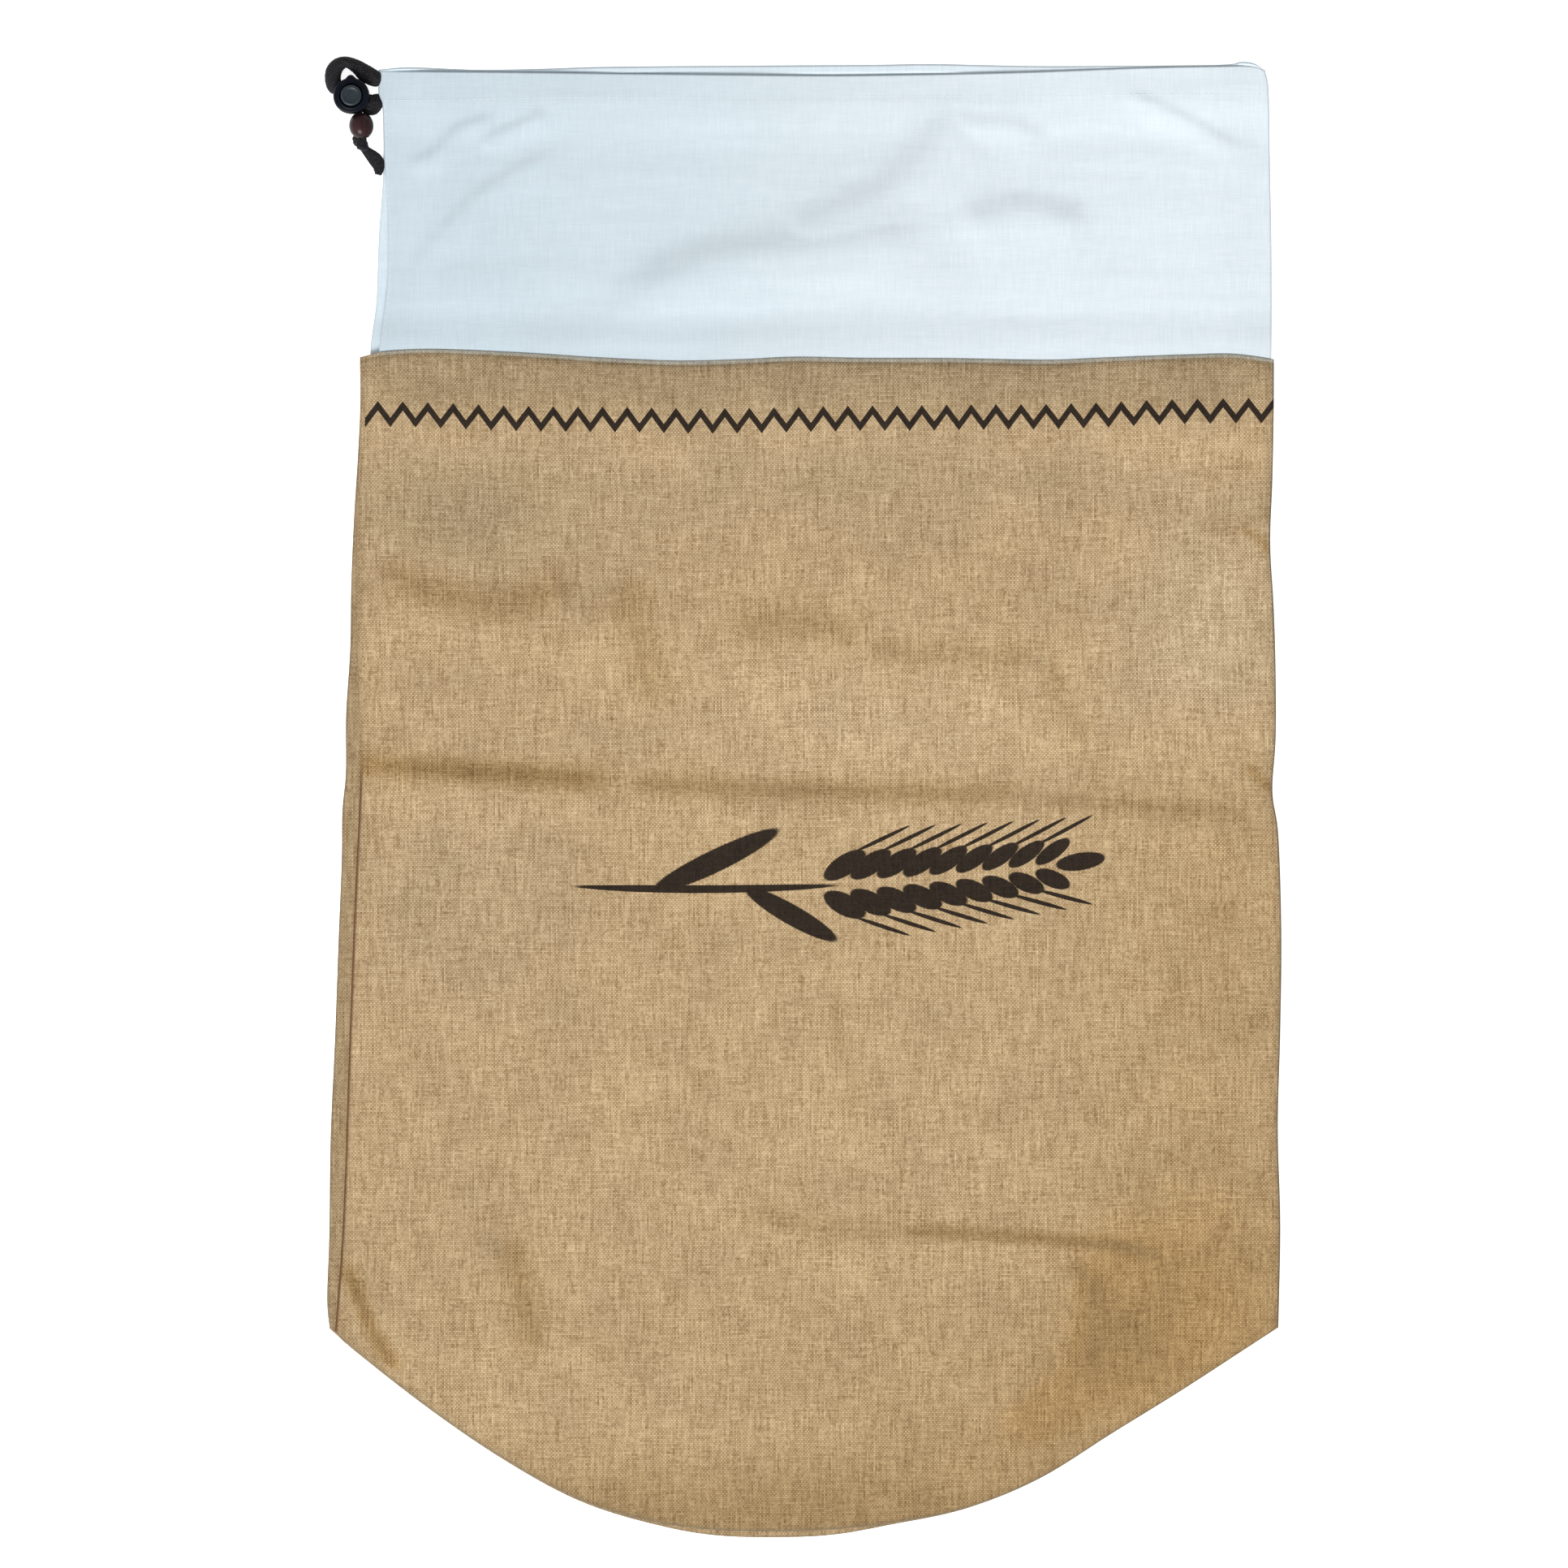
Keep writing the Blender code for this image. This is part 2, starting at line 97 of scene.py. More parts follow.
camera = bpy.data.objects.new("camera", bpy.data.cameras.new("camera"))
camera.data.sensor_width = 36.0
camera.data.lens = 36.0 * VIEW_HEIGHT / VIEW_WIDTH
camera.data.clip_end = 50.0
camera.location = (VIEW_CENTRE[0] * MM, VIEW_CENTRE[1] * MM, VIEW_HEIGHT * MM)
bpy.context.scene.collection.objects.link(camera)
bpy.context.scene.camera = camera
bpy.context.scene.view_settings.view_transform = "Standard"

lamp = bpy.data.objects.new("lamp", bpy.data.lights.new("lamp", "SUN"))
lamp.data.energy = 3.1
lamp.data.angle = math.radians(32)
towards = Vector(LAMP_FROM).normalized() * math.cos(math.radians(LAMP_ELEVATION))
lamp.rotation_mode = "QUATERNION"
lamp.rotation_quaternion = Vector(
    (*towards, math.sin(math.radians(LAMP_ELEVATION)))).to_track_quat("Z", "Y")
bpy.context.scene.collection.objects.link(lamp)

room = bpy.data.worlds.new("room")
room.use_nodes = True
room.node_tree.nodes["Background"].inputs["Color"].default_value = linear("#FFFFFF")
room.node_tree.nodes["Background"].inputs["Strength"].default_value = 0.56
bpy.context.scene.world = room

# The table top is opal acrylic over an even light, as for product work, so it shows no shadows.
opal, tree, shader = new_material("lit_opal_acrylic", {"Base Color": linear("#E8E8E8"), "Roughness": 0.7,
    "Emission Color": linear("#FFFFFF"), "Emission Strength": 0.85})
mesh = bmesh.new()
bmesh.ops.create_grid(mesh, x_segments=1, y_segments=1, size=4.0)
data = bpy.data.meshes.new("table_top")
mesh.to_mesh(data)
mesh.free()
table_top = bpy.data.objects.new("table_top", data)
bpy.context.scene.collection.objects.link(table_top)
data.materials.append(opal)

# ----------------------------------------
# Drawcord. A black polyester braid of fourteen strands each way, drawn as two stretches: the loop
# from the collar's hem round into the lock, and the other end out of the hem, through the lock,
# the bead and the knot, to its cut end. Its thickness changes where it is squeezed or lies flat.
# ----------------------------------------
BRAID_STRANDS = 14        # strands that run round each way
BRAID_LAY = 22.0          # length over which a strand goes once round
BRAID_RELIEF = 0.2        # how far the strands stand out
RING_STEP = 0.24          # spacing of the tube's rings
RING_SIDES = 84
# x, y, z of the centreline, then half the width and half the height of the braid there.
LOOP = [
    (-152.0, 266.2, 2.3, 1.3, 0.8), (-156.6, 266.4, 2.35, 2.3, 1.0), (-158.3, 266.5, 2.9, 2.9, 2.2),
    (-159.4, 266.6, 2.9, 3.1, 2.4), (-162.6, 268.3, 2.9, 3.3, 2.4), (-166.0, 270.9, 3.0, 2.6, 2.5),
    (-169.6, 272.5, 3.0, 2.1, 2.6), (-172.4, 271.7, 3.0, 2.6, 2.5), (-174.3, 269.5, 2.9, 3.0, 2.4),
    (-174.8, 266.6, 2.8, 3.0, 2.4), (-174.2, 263.8, 2.8, 2.9, 2.4), (-173.0, 262.3, 2.8, 2.4, 2.3),
]
RETURN = [
    (-153.0, 259.6, 2.3, 1.2, 0.8), (-156.8, 259.3, 2.35, 1.6, 0.9), (-158.5, 258.7, 2.6, 2.4, 1.8),
    (-159.2, 257.7, 2.85, 3.3, 2.3), (-160.1, 257.0, 2.9, 3.9, 2.5), (-161.1, 256.8, 2.9, 3.9, 2.5),
    (-161.9, 257.4, 2.8, 3.3, 2.4), (-162.45, 258.8, 2.8, 1.3, 1.7), (-163.3, 257.0, 3.3, 1.1, 1.1),
    (-165.2, 255.1, 3.8, 1.2, 1.2), (-164.83, 252.2, 3.8, 1.5, 1.5), (-164.45, 249.3, 3.8, 1.5, 1.5),
    (-163.88, 244.85, 3.4, 1.5, 1.5), (-163.7, 242.4, 2.2, 1.6, 1.3), (-162.9, 240.4, 1.3, 1.6, 1.0),
    (-161.9, 239.3, 1.2, 1.9, 0.95), (-160.6, 238.1, 1.15, 2.3, 0.9), (-158.9, 236.3, 1.1, 2.65, 0.9),
    (-158.0, 234.4, 1.1, 2.35, 0.9), (-157.9, 232.3, 1.1, 1.7, 0.9), (-158.2, 231.0, 1.1, 1.2, 0.85),
]


def line_at(points, shares):
    """Points of a smooth line through the given ones, at these shares of its length."""
    points = np.array(points, float)
    ends = np.vstack([2 * points[0] - points[1], points, 2 * points[-1] - points[-2]])
    t = np.linspace(0, 1, 17)[1:, None]
    fine = [points[:1]]
    for a, b, c, d in zip(ends, ends[1:], ends[2:], ends[3:]):
        fine.append(0.5 * (2 * b + (c - a) * t + (2 * a - 5 * b + 4 * c - d) * t ** 2
                           + (3 * b - a - 3 * c + d) * t ** 3))
    fine = np.vstack(fine)
    run = np.concatenate([[0.0], np.cumsum(np.linalg.norm(np.diff(fine, axis=0), axis=1))])
    shares = np.asarray(shares, float) * run[-1]
    return np.column_stack([np.interp(shares, run, fine[:, k]) for k in range(fine.shape[1])])


def line_length(points):
    """The smooth line's length, from its first three columns."""
    fine = line_at(points, np.linspace(0, 1, 400))[:, :3]
    return float(np.linalg.norm(np.diff(fine, axis=0), axis=1).sum())


def add_piece(name, verts, faces, material, body="bag", smooth=True):
    """A mesh object from points in millimetres, which rides on a body."""
    data = bpy.data.meshes.new(name)
    data.from_pydata((np.asarray(verts) * MM).tolist(), [], [list(map(int, f)) for f in faces])
    data.materials.append(material)
    if smooth:
        data.shade_smooth()
    piece = bpy.data.objects.new(name, data)
    bpy.context.scene.collection.objects.link(piece)
    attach(piece, body)
    return piece


def set_attribute(piece, name, values):
    """Stores one number for each point, which the material reads by name."""
    layer = piece.data.attributes.new(name, "FLOAT", "POINT")
    layer.data.foreach_set("value", np.asarray(values, np.float32).ravel())


def braid_relief(around, along):
    """How high the braid's strands stand, from 0 to 1, and which strand is on top, by turn and mm."""
    a = around * BRAID_STRANDS + along * BRAID_STRANDS / BRAID_LAY
    b = around * BRAID_STRANDS - along * BRAID_STRANDS / BRAID_LAY
    over = (np.floor(a) + np.floor(b)) % 2
    ridge_a, ridge_b = np.abs(np.sin(np.pi * a)), np.abs(np.sin(np.pi * b))
    height = np.where(over > 0.5, ridge_a * (0.6 + 0.4 * ridge_b), ridge_b * (0.6 + 0.4 * ridge_a))
    strand = np.where(over > 0.5, np.floor(a), 100 + np.floor(b))
    return height, np.abs(np.sin(strand * 12.9898) * 43758.5453) % 1.0


def add_braid(name, table, material):
    """The braided tube along a table's centreline. Returns the piece and its centreline in metres."""
    length = line_length(table)
    count = round(length / RING_STEP)
    line = line_at(table, np.linspace(0, 1, count + 1))
    centre = line[:, :3]
    ahead = np.gradient(centre, axis=0)
    ahead /= np.linalg.norm(ahead, axis=1, keepdims=True)
    side = np.cross(ahead, (0.0, 0.0, 1.0))
    side /= np.linalg.norm(side, axis=1, keepdims=True)
    up = np.cross(side, ahead)
    turn = np.arange(RING_SIDES) / RING_SIDES
    along = np.linspace(0, length, count + 1)
    relief, strand = braid_relief(turn[None, :], along[:, None])
    swell = BRAID_RELIEF * (relief - 0.75)
    reach_side = (line[:, 3:4] + swell) * np.cos(2 * np.pi * turn)
    reach_up = (line[:, 4:5] + swell) * np.sin(2 * np.pi * turn)
    rings = centre[:, None] + reach_side[..., None] * side[:, None] + reach_up[..., None] * up[:, None]
    verts = np.vstack([rings.reshape(-1, 3), centre[:1], centre[-1:]])
    ring, spot = np.meshgrid(np.arange(count), np.arange(RING_SIDES), indexing="ij")
    after = (spot + 1) % RING_SIDES
    low, high = ring * RING_SIDES, (ring + 1) * RING_SIDES
    faces = np.stack([low + spot, high + spot, high + after, low + after], -1).reshape(-1, 4).tolist()
    last = count * RING_SIDES
    for k in range(RING_SIDES):
        after = (k + 1) % RING_SIDES
        faces.append((len(verts) - 2, k, after))
        faces.append((len(verts) - 1, last + after, last + k))
    piece = add_piece(name, verts, faces, material)
    set_attribute(piece, "relief", np.append(relief.ravel(), (0.3, 0.3)))
    set_attribute(piece, "strand", np.append(strand.ravel(), (0.5, 0.5)))
    return piece, centre * MM


def braid_material():
    """Spun polyester braid, dyed black: matt, with a random grey mottle on the tops of its strands and
    painted shade that keeps the gaps between them near black.
    """
    made, tree, shader = new_material("black_polyester_braid",
        {"Roughness": 0.8, "IOR": 1.5, "Specular IOR Level": 0.3, "Sheen Weight": 0.05})
    relief = add_node(tree, "Attribute", give="Fac", attribute_name="relief")
    strand = add_node(tree, "Attribute", give="Fac", attribute_name="strand")
    place = add_node(tree, "TexCoord", give="Object")
    # Yarn fibres are about 0.02 mm. They are drawn as a 0.3 mm mottle, which still shows.
    fibres = add_node(tree, "TexNoise", {"Vector": place, "Scale": 3200.0, "Detail": 3.0})
    # Painted light and shade: the grey mottle shows only on the strands' tops, and the gaps between the
    # strands stay near black.
    painted_relief_light = add_node(tree, "Math", {0: relief, 1: 2.2}, operation="POWER")
    bloom = add_node(tree, "Math", {0: fibres, 1: strand}, operation="MULTIPLY")
    amount = add_node(tree, "Math", {0: painted_relief_light, 1: bloom}, operation="MULTIPLY", use_clamp=True)
    colour = add_node(tree, "Mix", {"Factor": amount, "A": linear("#08080B"), "B": linear("#44444A")},
        data_type="RGBA")
    dress(tree, shader, colour, fibres, 0.5, 0.0001)
    return made


braid = braid_material()
cord_loop, loop_path = add_braid("drawcord_loop", LOOP, braid)
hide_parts("cord_loop")
cord_end, end_path = add_braid("drawcord_end", RETURN, braid)
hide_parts("cord_return", "cord_drop", "cord_tail")

# ----------------------------------------
# Cord lock. An injection-moulded black acetal barrel with a sprung push button in its top. The
# cord runs through its side. Pressing the button lets the cord slide, and the spring grips it.
# ----------------------------------------
LOCK_AT = (-167.9, 260.0)
LOCK_R, LOCK_HEIGHT, LOCK_EDGE = 6.6, 8.4, 1.1
BORE_R, BORE_FLOOR = 4.2, 1.1
BUTTON_R, BUTTON_LOW, BUTTON_TOP = 3.85, 4.5, 10.0
BUTTON_DISH = 0.35        # how deep the button's top is dished
LUG_OUT, LUG_HALF = 1.1, 17.0   # the small lug on the barrel's far side, in mm and degrees
TURN_STEPS = 120


def turned(name, profile, at, material, body="bag", lug=0.0):
    """A body turned round the vertical through at, from radius and height pairs, axis to axis."""
    rings = [p for p in profile if p[0] > 1e-6]
    angles = 2 * np.pi * np.arange(TURN_STEPS) / TURN_STEPS
    away = (np.degrees(angles) - 92.0 + 180.0) % 360.0 - 180.0
    bump = np.clip(1 - (away / LUG_HALF) ** 2, 0, 1) ** 1.5 * lug
    verts = [(at[0], at[1], profile[0][1])]
    for r, z in rings:
        stands = bump * min(max((r - BORE_R) / (LOCK_R - BORE_R), 0.0), 1.0)
        verts += np.column_stack([at[0] + (r + stands) * np.cos(angles),
                                  at[1] + (r + stands) * np.sin(angles),
                                  np.full(TURN_STEPS, z)]).tolist()
    verts.append((at[0], at[1], profile[-1][1]))
    faces = []
    for k in range(TURN_STEPS):
        after = (k + 1) % TURN_STEPS
        faces.append((0, 1 + after, 1 + k))
        for j in range(len(rings) - 1):
            a, b = 1 + j * TURN_STEPS, 1 + (j + 1) * TURN_STEPS
            faces.append((a + k, a + after, b + after, b + k))
        a = 1 + (len(rings) - 1) * TURN_STEPS
        faces.append((a + k, a + after, len(verts) - 1))
    return add_piece(name, verts, faces, material, body)


def arc(centre_r, centre_z, radius, start, end, steps):
    """Radius and height pairs along an arc, with its angles in degrees."""
    angles = np.radians(np.linspace(start, end, steps + 1))
    return list(zip(centre_r + radius * np.cos(angles), centre_z + radius * np.sin(angles)))


def acetal_material(name, dark, light, shine):
    """Moulded acetal, black: a satin skin with fine mould marks, which mirrors the room softly."""
    made, tree, shader = new_material(name, {"IOR": 1.48, "Specular IOR Level": shine})
    place = add_node(tree, "TexCoord", give="Object")
    cloud = add_node(tree, "TexNoise", {"Vector": place, "Scale": 900.0, "Detail": 4.0})
    colour = add_node(tree, "Mix", {"Factor": cloud, "A": linear(dark), "B": linear(light)},
        data_type="RGBA")
    rough = add_node(tree, "MapRange", {"Value": cloud, "To Min": 0.28, "To Max": 0.5})
    tree.links.new(rough, shader.inputs["Roughness"])
    dress(tree, shader, colour, cloud, 0.25, 0.0001)
    return made


acetal = acetal_material("black_acetal", "#06070C", "#0F1420", 0.1)
outside = LOCK_R - LOCK_EDGE
profile = [(0.0, 0.0), (3.0, 0.0)] + arc(outside, LOCK_EDGE, LOCK_EDGE, -90, 0, 8)
profile += [(LOCK_R + 0.05, LOCK_HEIGHT * 0.5 - 0.15), (LOCK_R + 0.14, LOCK_HEIGHT * 0.5),
            (LOCK_R + 0.05, LOCK_HEIGHT * 0.5 + 0.15)]
profile += arc(outside, LOCK_HEIGHT - LOCK_EDGE, LOCK_EDGE, 0, 90, 8)
profile += [(5.05, LOCK_HEIGHT), (4.95, LOCK_HEIGHT + 0.12), (4.55, LOCK_HEIGHT + 0.12)]
profile += [(BORE_R + 0.08, LOCK_HEIGHT), (BORE_R, LOCK_HEIGHT - 0.15), (BORE_R, BORE_FLOOR),
            (BORE_R - 0.2, BORE_FLOOR), (0.0, BORE_FLOOR)]
lock_barrel = turned("lock_barrel", profile, LOCK_AT, acetal, lug=LUG_OUT)
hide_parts("lock_body")

profile = [(0.0, BUTTON_LOW), (BUTTON_R - 0.3, BUTTON_LOW), (BUTTON_R, BUTTON_LOW + 0.3)]
profile += arc(BUTTON_R - 0.75, BUTTON_TOP - 0.75, 0.75, 0, 90, 8)
profile += [(BUTTON_R - 1.0, BUTTON_TOP - 0.06), (BUTTON_R - 1.25, BUTTON_TOP - BUTTON_DISH * 0.6),
            (BUTTON_R - 1.6, BUTTON_TOP - BUTTON_DISH), (1.0, BUTTON_TOP - BUTTON_DISH * 0.8),
            (0.0, BUTTON_TOP - BUTTON_DISH * 0.75)]
# The push button is the same black acetal with a lighter colour, a painted grey-blue reflection of the room
# on its top.
sheen_painted_acetal = acetal_material("black_acetal_painted_sheen", "#1B2227", "#2C363C", 0.3)
push_button = turned("push_button", profile, LOCK_AT, sheen_painted_acetal, body="button")
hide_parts("lock_button")

# ----------------------------------------
# Bead. A turned hardwood bead, stained dark red-brown and lacquered, threaded on the doubled cord.
# Its bore has rounded lips.
# ----------------------------------------
BEAD_AT = (-164.2, 249.0, 4.6)
BEAD_R, BEAD_BORE, BEAD_STRETCH = 4.55, 1.75, 1.12
BEAD_AXIS = (1.32, -10.25, 0.0)


def bead_material():
    """Lacquered hardwood: red-brown grain that runs with the bore, under a hard clear gloss."""
    made, tree, shader = new_material("lacquered_hardwood",
        {"Roughness": 0.4, "IOR": 1.5, "Specular IOR Level": 0.1, "Coat IOR": 1.3, "Coat Weight": 0.35,
        "Coat Roughness": 0.06})
    place = add_node(tree, "TexCoord", give="Object")
    stretched = add_node(tree, "Mapping", {"Vector": place, "Scale": (900.0, 160.0, 900.0)})
    grain = add_node(tree, "TexNoise", {"Vector": stretched, "Scale": 1.0, "Detail": 4.0})
    colour = add_node(tree, "Mix", {"Factor": grain, "A": linear("#140708"), "B": linear("#432729")},
        data_type="RGBA")
    # Painted light and shade: the colour darkens down the bead's sides and stays lighter on its top.
    height = add_node(tree, "SeparateXYZ", {0: place}, give=2)
    painted_top_light = add_node(tree, "MapRange", {"Value": height, "From Min": 5.2 * MM, "From Max": 8.6 * MM,
        "To Min": 0.12, "To Max": 1.0})
    colour = add_node(tree, "VectorMath", {0: colour, "Scale": painted_top_light}, operation="SCALE")
    tree.links.new(colour, shader.inputs["Base Color"])
    return made


axis = np.array(BEAD_AXIS) / np.linalg.norm(BEAD_AXIS)
across = np.cross(axis, (0.0, 0.0, 1.0))
half = math.sqrt(BEAD_R ** 2 - (BEAD_BORE + 0.45) ** 2)
section = arc(0.0, 0.0, BEAD_R, -math.degrees(math.atan2(half, BEAD_BORE + 0.45)),
              math.degrees(math.atan2(half, BEAD_BORE + 0.45)), 28)
section += arc(BEAD_BORE + 0.35, half - 0.25, 0.35, 60, 180, 5)
section += arc(BEAD_BORE + 0.35, -half + 0.25, 0.35, 180, 300, 5)
steps = 64
verts = []
for k in range(steps):
    turn = 2 * math.pi * k / steps
    out = math.cos(turn) * across + math.sin(turn) * np.array((0.0, 0.0, 1.0))
    verts += [np.array(BEAD_AT) + r * out + h * BEAD_STRETCH * axis for r, h in section]
count = len(section)
faces = [(k * count + j, ((k + 1) % steps) * count + j, ((k + 1) % steps) * count + (j + 1) % count,
          k * count + (j + 1) % count) for k in range(steps) for j in range(count)]
bead = add_piece("cord_bead", verts, faces, bead_material())
bmesh_bead = bmesh.new()
bmesh_bead.from_mesh(bead.data)
bmesh.ops.recalc_face_normals(bmesh_bead, faces=bmesh_bead.faces)
bmesh_bead.to_mesh(bead.data)
bmesh_bead.free()
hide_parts("bead")

# ----------------------------------------
# Knot. An overhand knot in the same braid, pulled tight, that stops the bead. The cord wraps
# round itself twice.
# ----------------------------------------
KNOT_AT = (-164.6, 242.3, 2.5)
KNOT_R = 1.45
knot_route = []
for k in range(33):
    turn = 2 * math.pi * (k / 32) * 2.3 + 0.4
    rise = (k / 32 - 0.5) * 2.0
    knot_route.append((KNOT_AT[0] + 1.45 * math.cos(turn) + 0.3 * rise,
                       KNOT_AT[1] + 0.35 - 1.35 * rise - 0.75 * math.cos(turn),
                       KNOT_AT[2] + 1.0 * math.sin(turn), KNOT_R, KNOT_R))
knot = add_braid("cord_knot", knot_route, braid)[0]
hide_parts("knot")

[c * MM for c in LOOP[2][:3]]
[c * MM for c in RETURN[2][:3]]

# ----------------------------------------
# Back panel. Plain-woven linen-look cloth, cut to a shield, that lies on the table. It shows as
# a narrow strip beside and below the front panel, where the turned side seam rolls to the front.
# ----------------------------------------
CLOTH = 1.0               # thickness of one layer
GAP = 0.3                 # air between two layers that touch
LOFT = 1.1                # air that keeps the middle of an upper layer off the one below
WARP, WEFT = 0.64, 0.71   # thread spacing across and along the bag
BACK_SIZE = (350, 430)
BAG_RIGHT = [
    (174.6, -195.0), (175.3, -157.3), (174.4, -121.3), (175.3, -85.3), (175.7, -49.4), (174.6, -13.3),
    (172.4, 3.0), (173.6, 22.6), (173.6, 46.6), (172.9, 70.6), (171.6, 94.6), (172.4, 118.6),
    (172.8, 142.7), (172.9, 162.8),
]
BACK_LOWER = [
    (-176.1, -195.4), (-165.6, -204.7), (-138.6, -225.7), (-111.6, -244.1), (-84.6, -258.9),
    (-57.6, -267.6), (-30.6, -272.3), (5.4, -272.3), (32.4, -268.0), (59.4, -262.2), (86.4, -251.2),
    (113.4, -234.4), (140.4, -217.7), (174.6, -195.4),
]
BACK_UPPER = [(-164.9, 162.0), (-87.9, 161.4), (2.1, 160.6), (74.1, 161.0), (172.9, 162.2)]
BACK_LEFT = [
    (-176.1, -195.4), (-177.0, -184.3), (-176.2, -160.3), (-175.7, -124.3), (-174.1, -88.3),
    (-172.8, -52.4), (-171.6, -22.0), (-171.4, -4.3), (-170.1, 10.0), (-170.0, 31.6), (-168.5, 55.6),
    (-168.1, 79.6), (-167.1, 103.6), (-165.6, 127.6), (-164.8, 145.0), (-164.9, 162.0),
]


def fade(value, start, end):
    """0 at start, 1 at end, with a soft step between."""
    t = np.clip((value - start) / (end - start), 0.0, 1.0)
    return t * t * (3.0 - 2.0 * t)


def shares_of(length, step):
    """An even number of steps over a length, fine at both ends and step wide between."""
    ends = [0.4, 0.5, 0.6, 0.8, 1.0, 1.3]
    middle = max(2, 2 * round((length - 2 * sum(ends)) / step / 2))
    steps = np.array(ends + [(length - 2 * sum(ends)) / middle] * middle + ends[::-1])
    return np.concatenate([[0.0], np.cumsum(steps)]) / steps.sum()


def laid_grid(lower, upper, left, right, step):
    """u, v, x and y of a grid between four edges."""
    us, vs = shares_of(line_length_2d(lower), step), shares_of(line_length_2d(left), step)
    low, high = line_at(lower, us), line_at(upper, us)
    west, east = line_at(left, vs), line_at(right, vs)
    u, v = np.meshgrid(us, vs)
    a, b = u[..., None], v[..., None]
    place = ((1 - b) * low[None] + b * high[None] + (1 - a) * west[:, None] + a * east[:, None]
             - (1 - a) * (1 - b) * low[0] - a * (1 - b) * low[-1]
             - (1 - a) * b * high[0] - a * b * high[-1])
    return u, v, place[..., 0], place[..., 1]


def line_length_2d(points):
    fine = line_at(points, np.linspace(0, 1, 400))
    return float(np.linalg.norm(np.diff(fine, axis=0), axis=1).sum())


def height_at(x, line):
    """How far up a line of x and y pairs is at each x."""
    line = np.asarray(line)
    return np.interp(x, line[:, 0], line[:, 1])


def add_cloth(name, grid, under, thick, material, cloth_uv=None):
    """A closed thin sheet over a grid: a fine upper face, a rounded rim and a coarser lower face."""
    u, v, x, y = grid
    rows, columns = x.shape
    index = np.arange(rows * columns).reshape(rows, columns)
    rim = np.concatenate([index[0, :-1], index[:-1, -1], index[-1, :0:-1], index[:0:-1, 0]])
    xs, ys = x.ravel(), y.ravel()
    ahead = np.stack([np.roll(xs[rim], -1) - np.roll(xs[rim], 1),
                      np.roll(ys[rim], -1) - np.roll(ys[rim], 1)], -1)
    ahead /= np.linalg.norm(ahead, axis=1, keepdims=True)
    inset = np.zeros((rows * columns, 2))
    inset[rim] = np.stack([-ahead[:, 1], ahead[:, 0]], -1) * 0.22
    top = np.column_stack([xs + inset[:, 0], ys + inset[:, 1], (under + thick).ravel()])
    top[rim, 2] -= 0.2 * thick.ravel()[rim]
    middle = np.column_stack([xs[rim], ys[rim], (under + thick / 2).ravel()[rim]])
    coarse = index[::2, ::2]
    low = np.column_stack([xs + inset[:, 0], ys + inset[:, 1], under.ravel()])[coarse.ravel()]
    verts = np.vstack([top, middle, low])
    quads = [index[:-1, :-1], index[:-1, 1:], index[1:, 1:], index[1:, :-1]]
    faces = np.stack([q.ravel() for q in quads], -1).tolist()
    first_mid, first_low = rows * columns, rows * columns + len(rim)
    below = np.arange(coarse.size).reshape(coarse.shape) + first_low
    quads = [below[:-1, :-1], below[1:, :-1], below[1:, 1:], below[:-1, 1:]]
    faces += np.stack([q.ravel() for q in quads], -1).tolist()
    low_rim = np.concatenate([below[0, :-1], below[:-1, -1], below[-1, :0:-1], below[:0:-1, 0]])
    count = len(rim)
    for k in range(count):
        after = (k + 1) % count
        faces.append((first_mid + k, first_mid + after, int(rim[after]), int(rim[k])))
    for k in range(0, count, 2):
        faces.append((int(low_rim[k // 2]), int(low_rim[(k // 2 + 1) % len(low_rim)]),
                      first_mid + (k + 2) % count, first_mid + k + 1, first_mid + k))
    piece = add_piece(name, verts, faces, material)
    uv = np.stack([xs, ys], -1) if cloth_uv is None else cloth_uv.reshape(-1, 2)
    uv = np.vstack([uv, uv[rim], uv[coarse.ravel()]]) * MM
    layer = piece.data.uv_layers.new(name="cloth")
    corners = np.empty(len(piece.data.loops), np.int32)
    piece.data.loops.foreach_get("vertex_index", corners)
    layer.data.foreach_set("uv", uv[corners].astype(np.float32).ravel())
    return piece, rim, coarse.ravel()


def set_on_cloth(made, **stored):
    """Stores numbers given on the grid on all of the sheet's points, for its material to read."""
    piece, rim, coarse = made
    for name, values in stored.items():
        values = np.asarray(values, float).ravel()
        set_attribute(piece, name, np.concatenate([values, values[rim], values[coarse]]))


def from_sides(u, v, size, sides):
    """Distance in millimetres from the nearest of the named sides of a sheet."""
    away = {"left": u * size[0], "right": (1 - u) * size[0], "foot": v * size[1], "top": (1 - v) * size[1]}
    return np.minimum.reduce([away[side] for side in sides.split()])


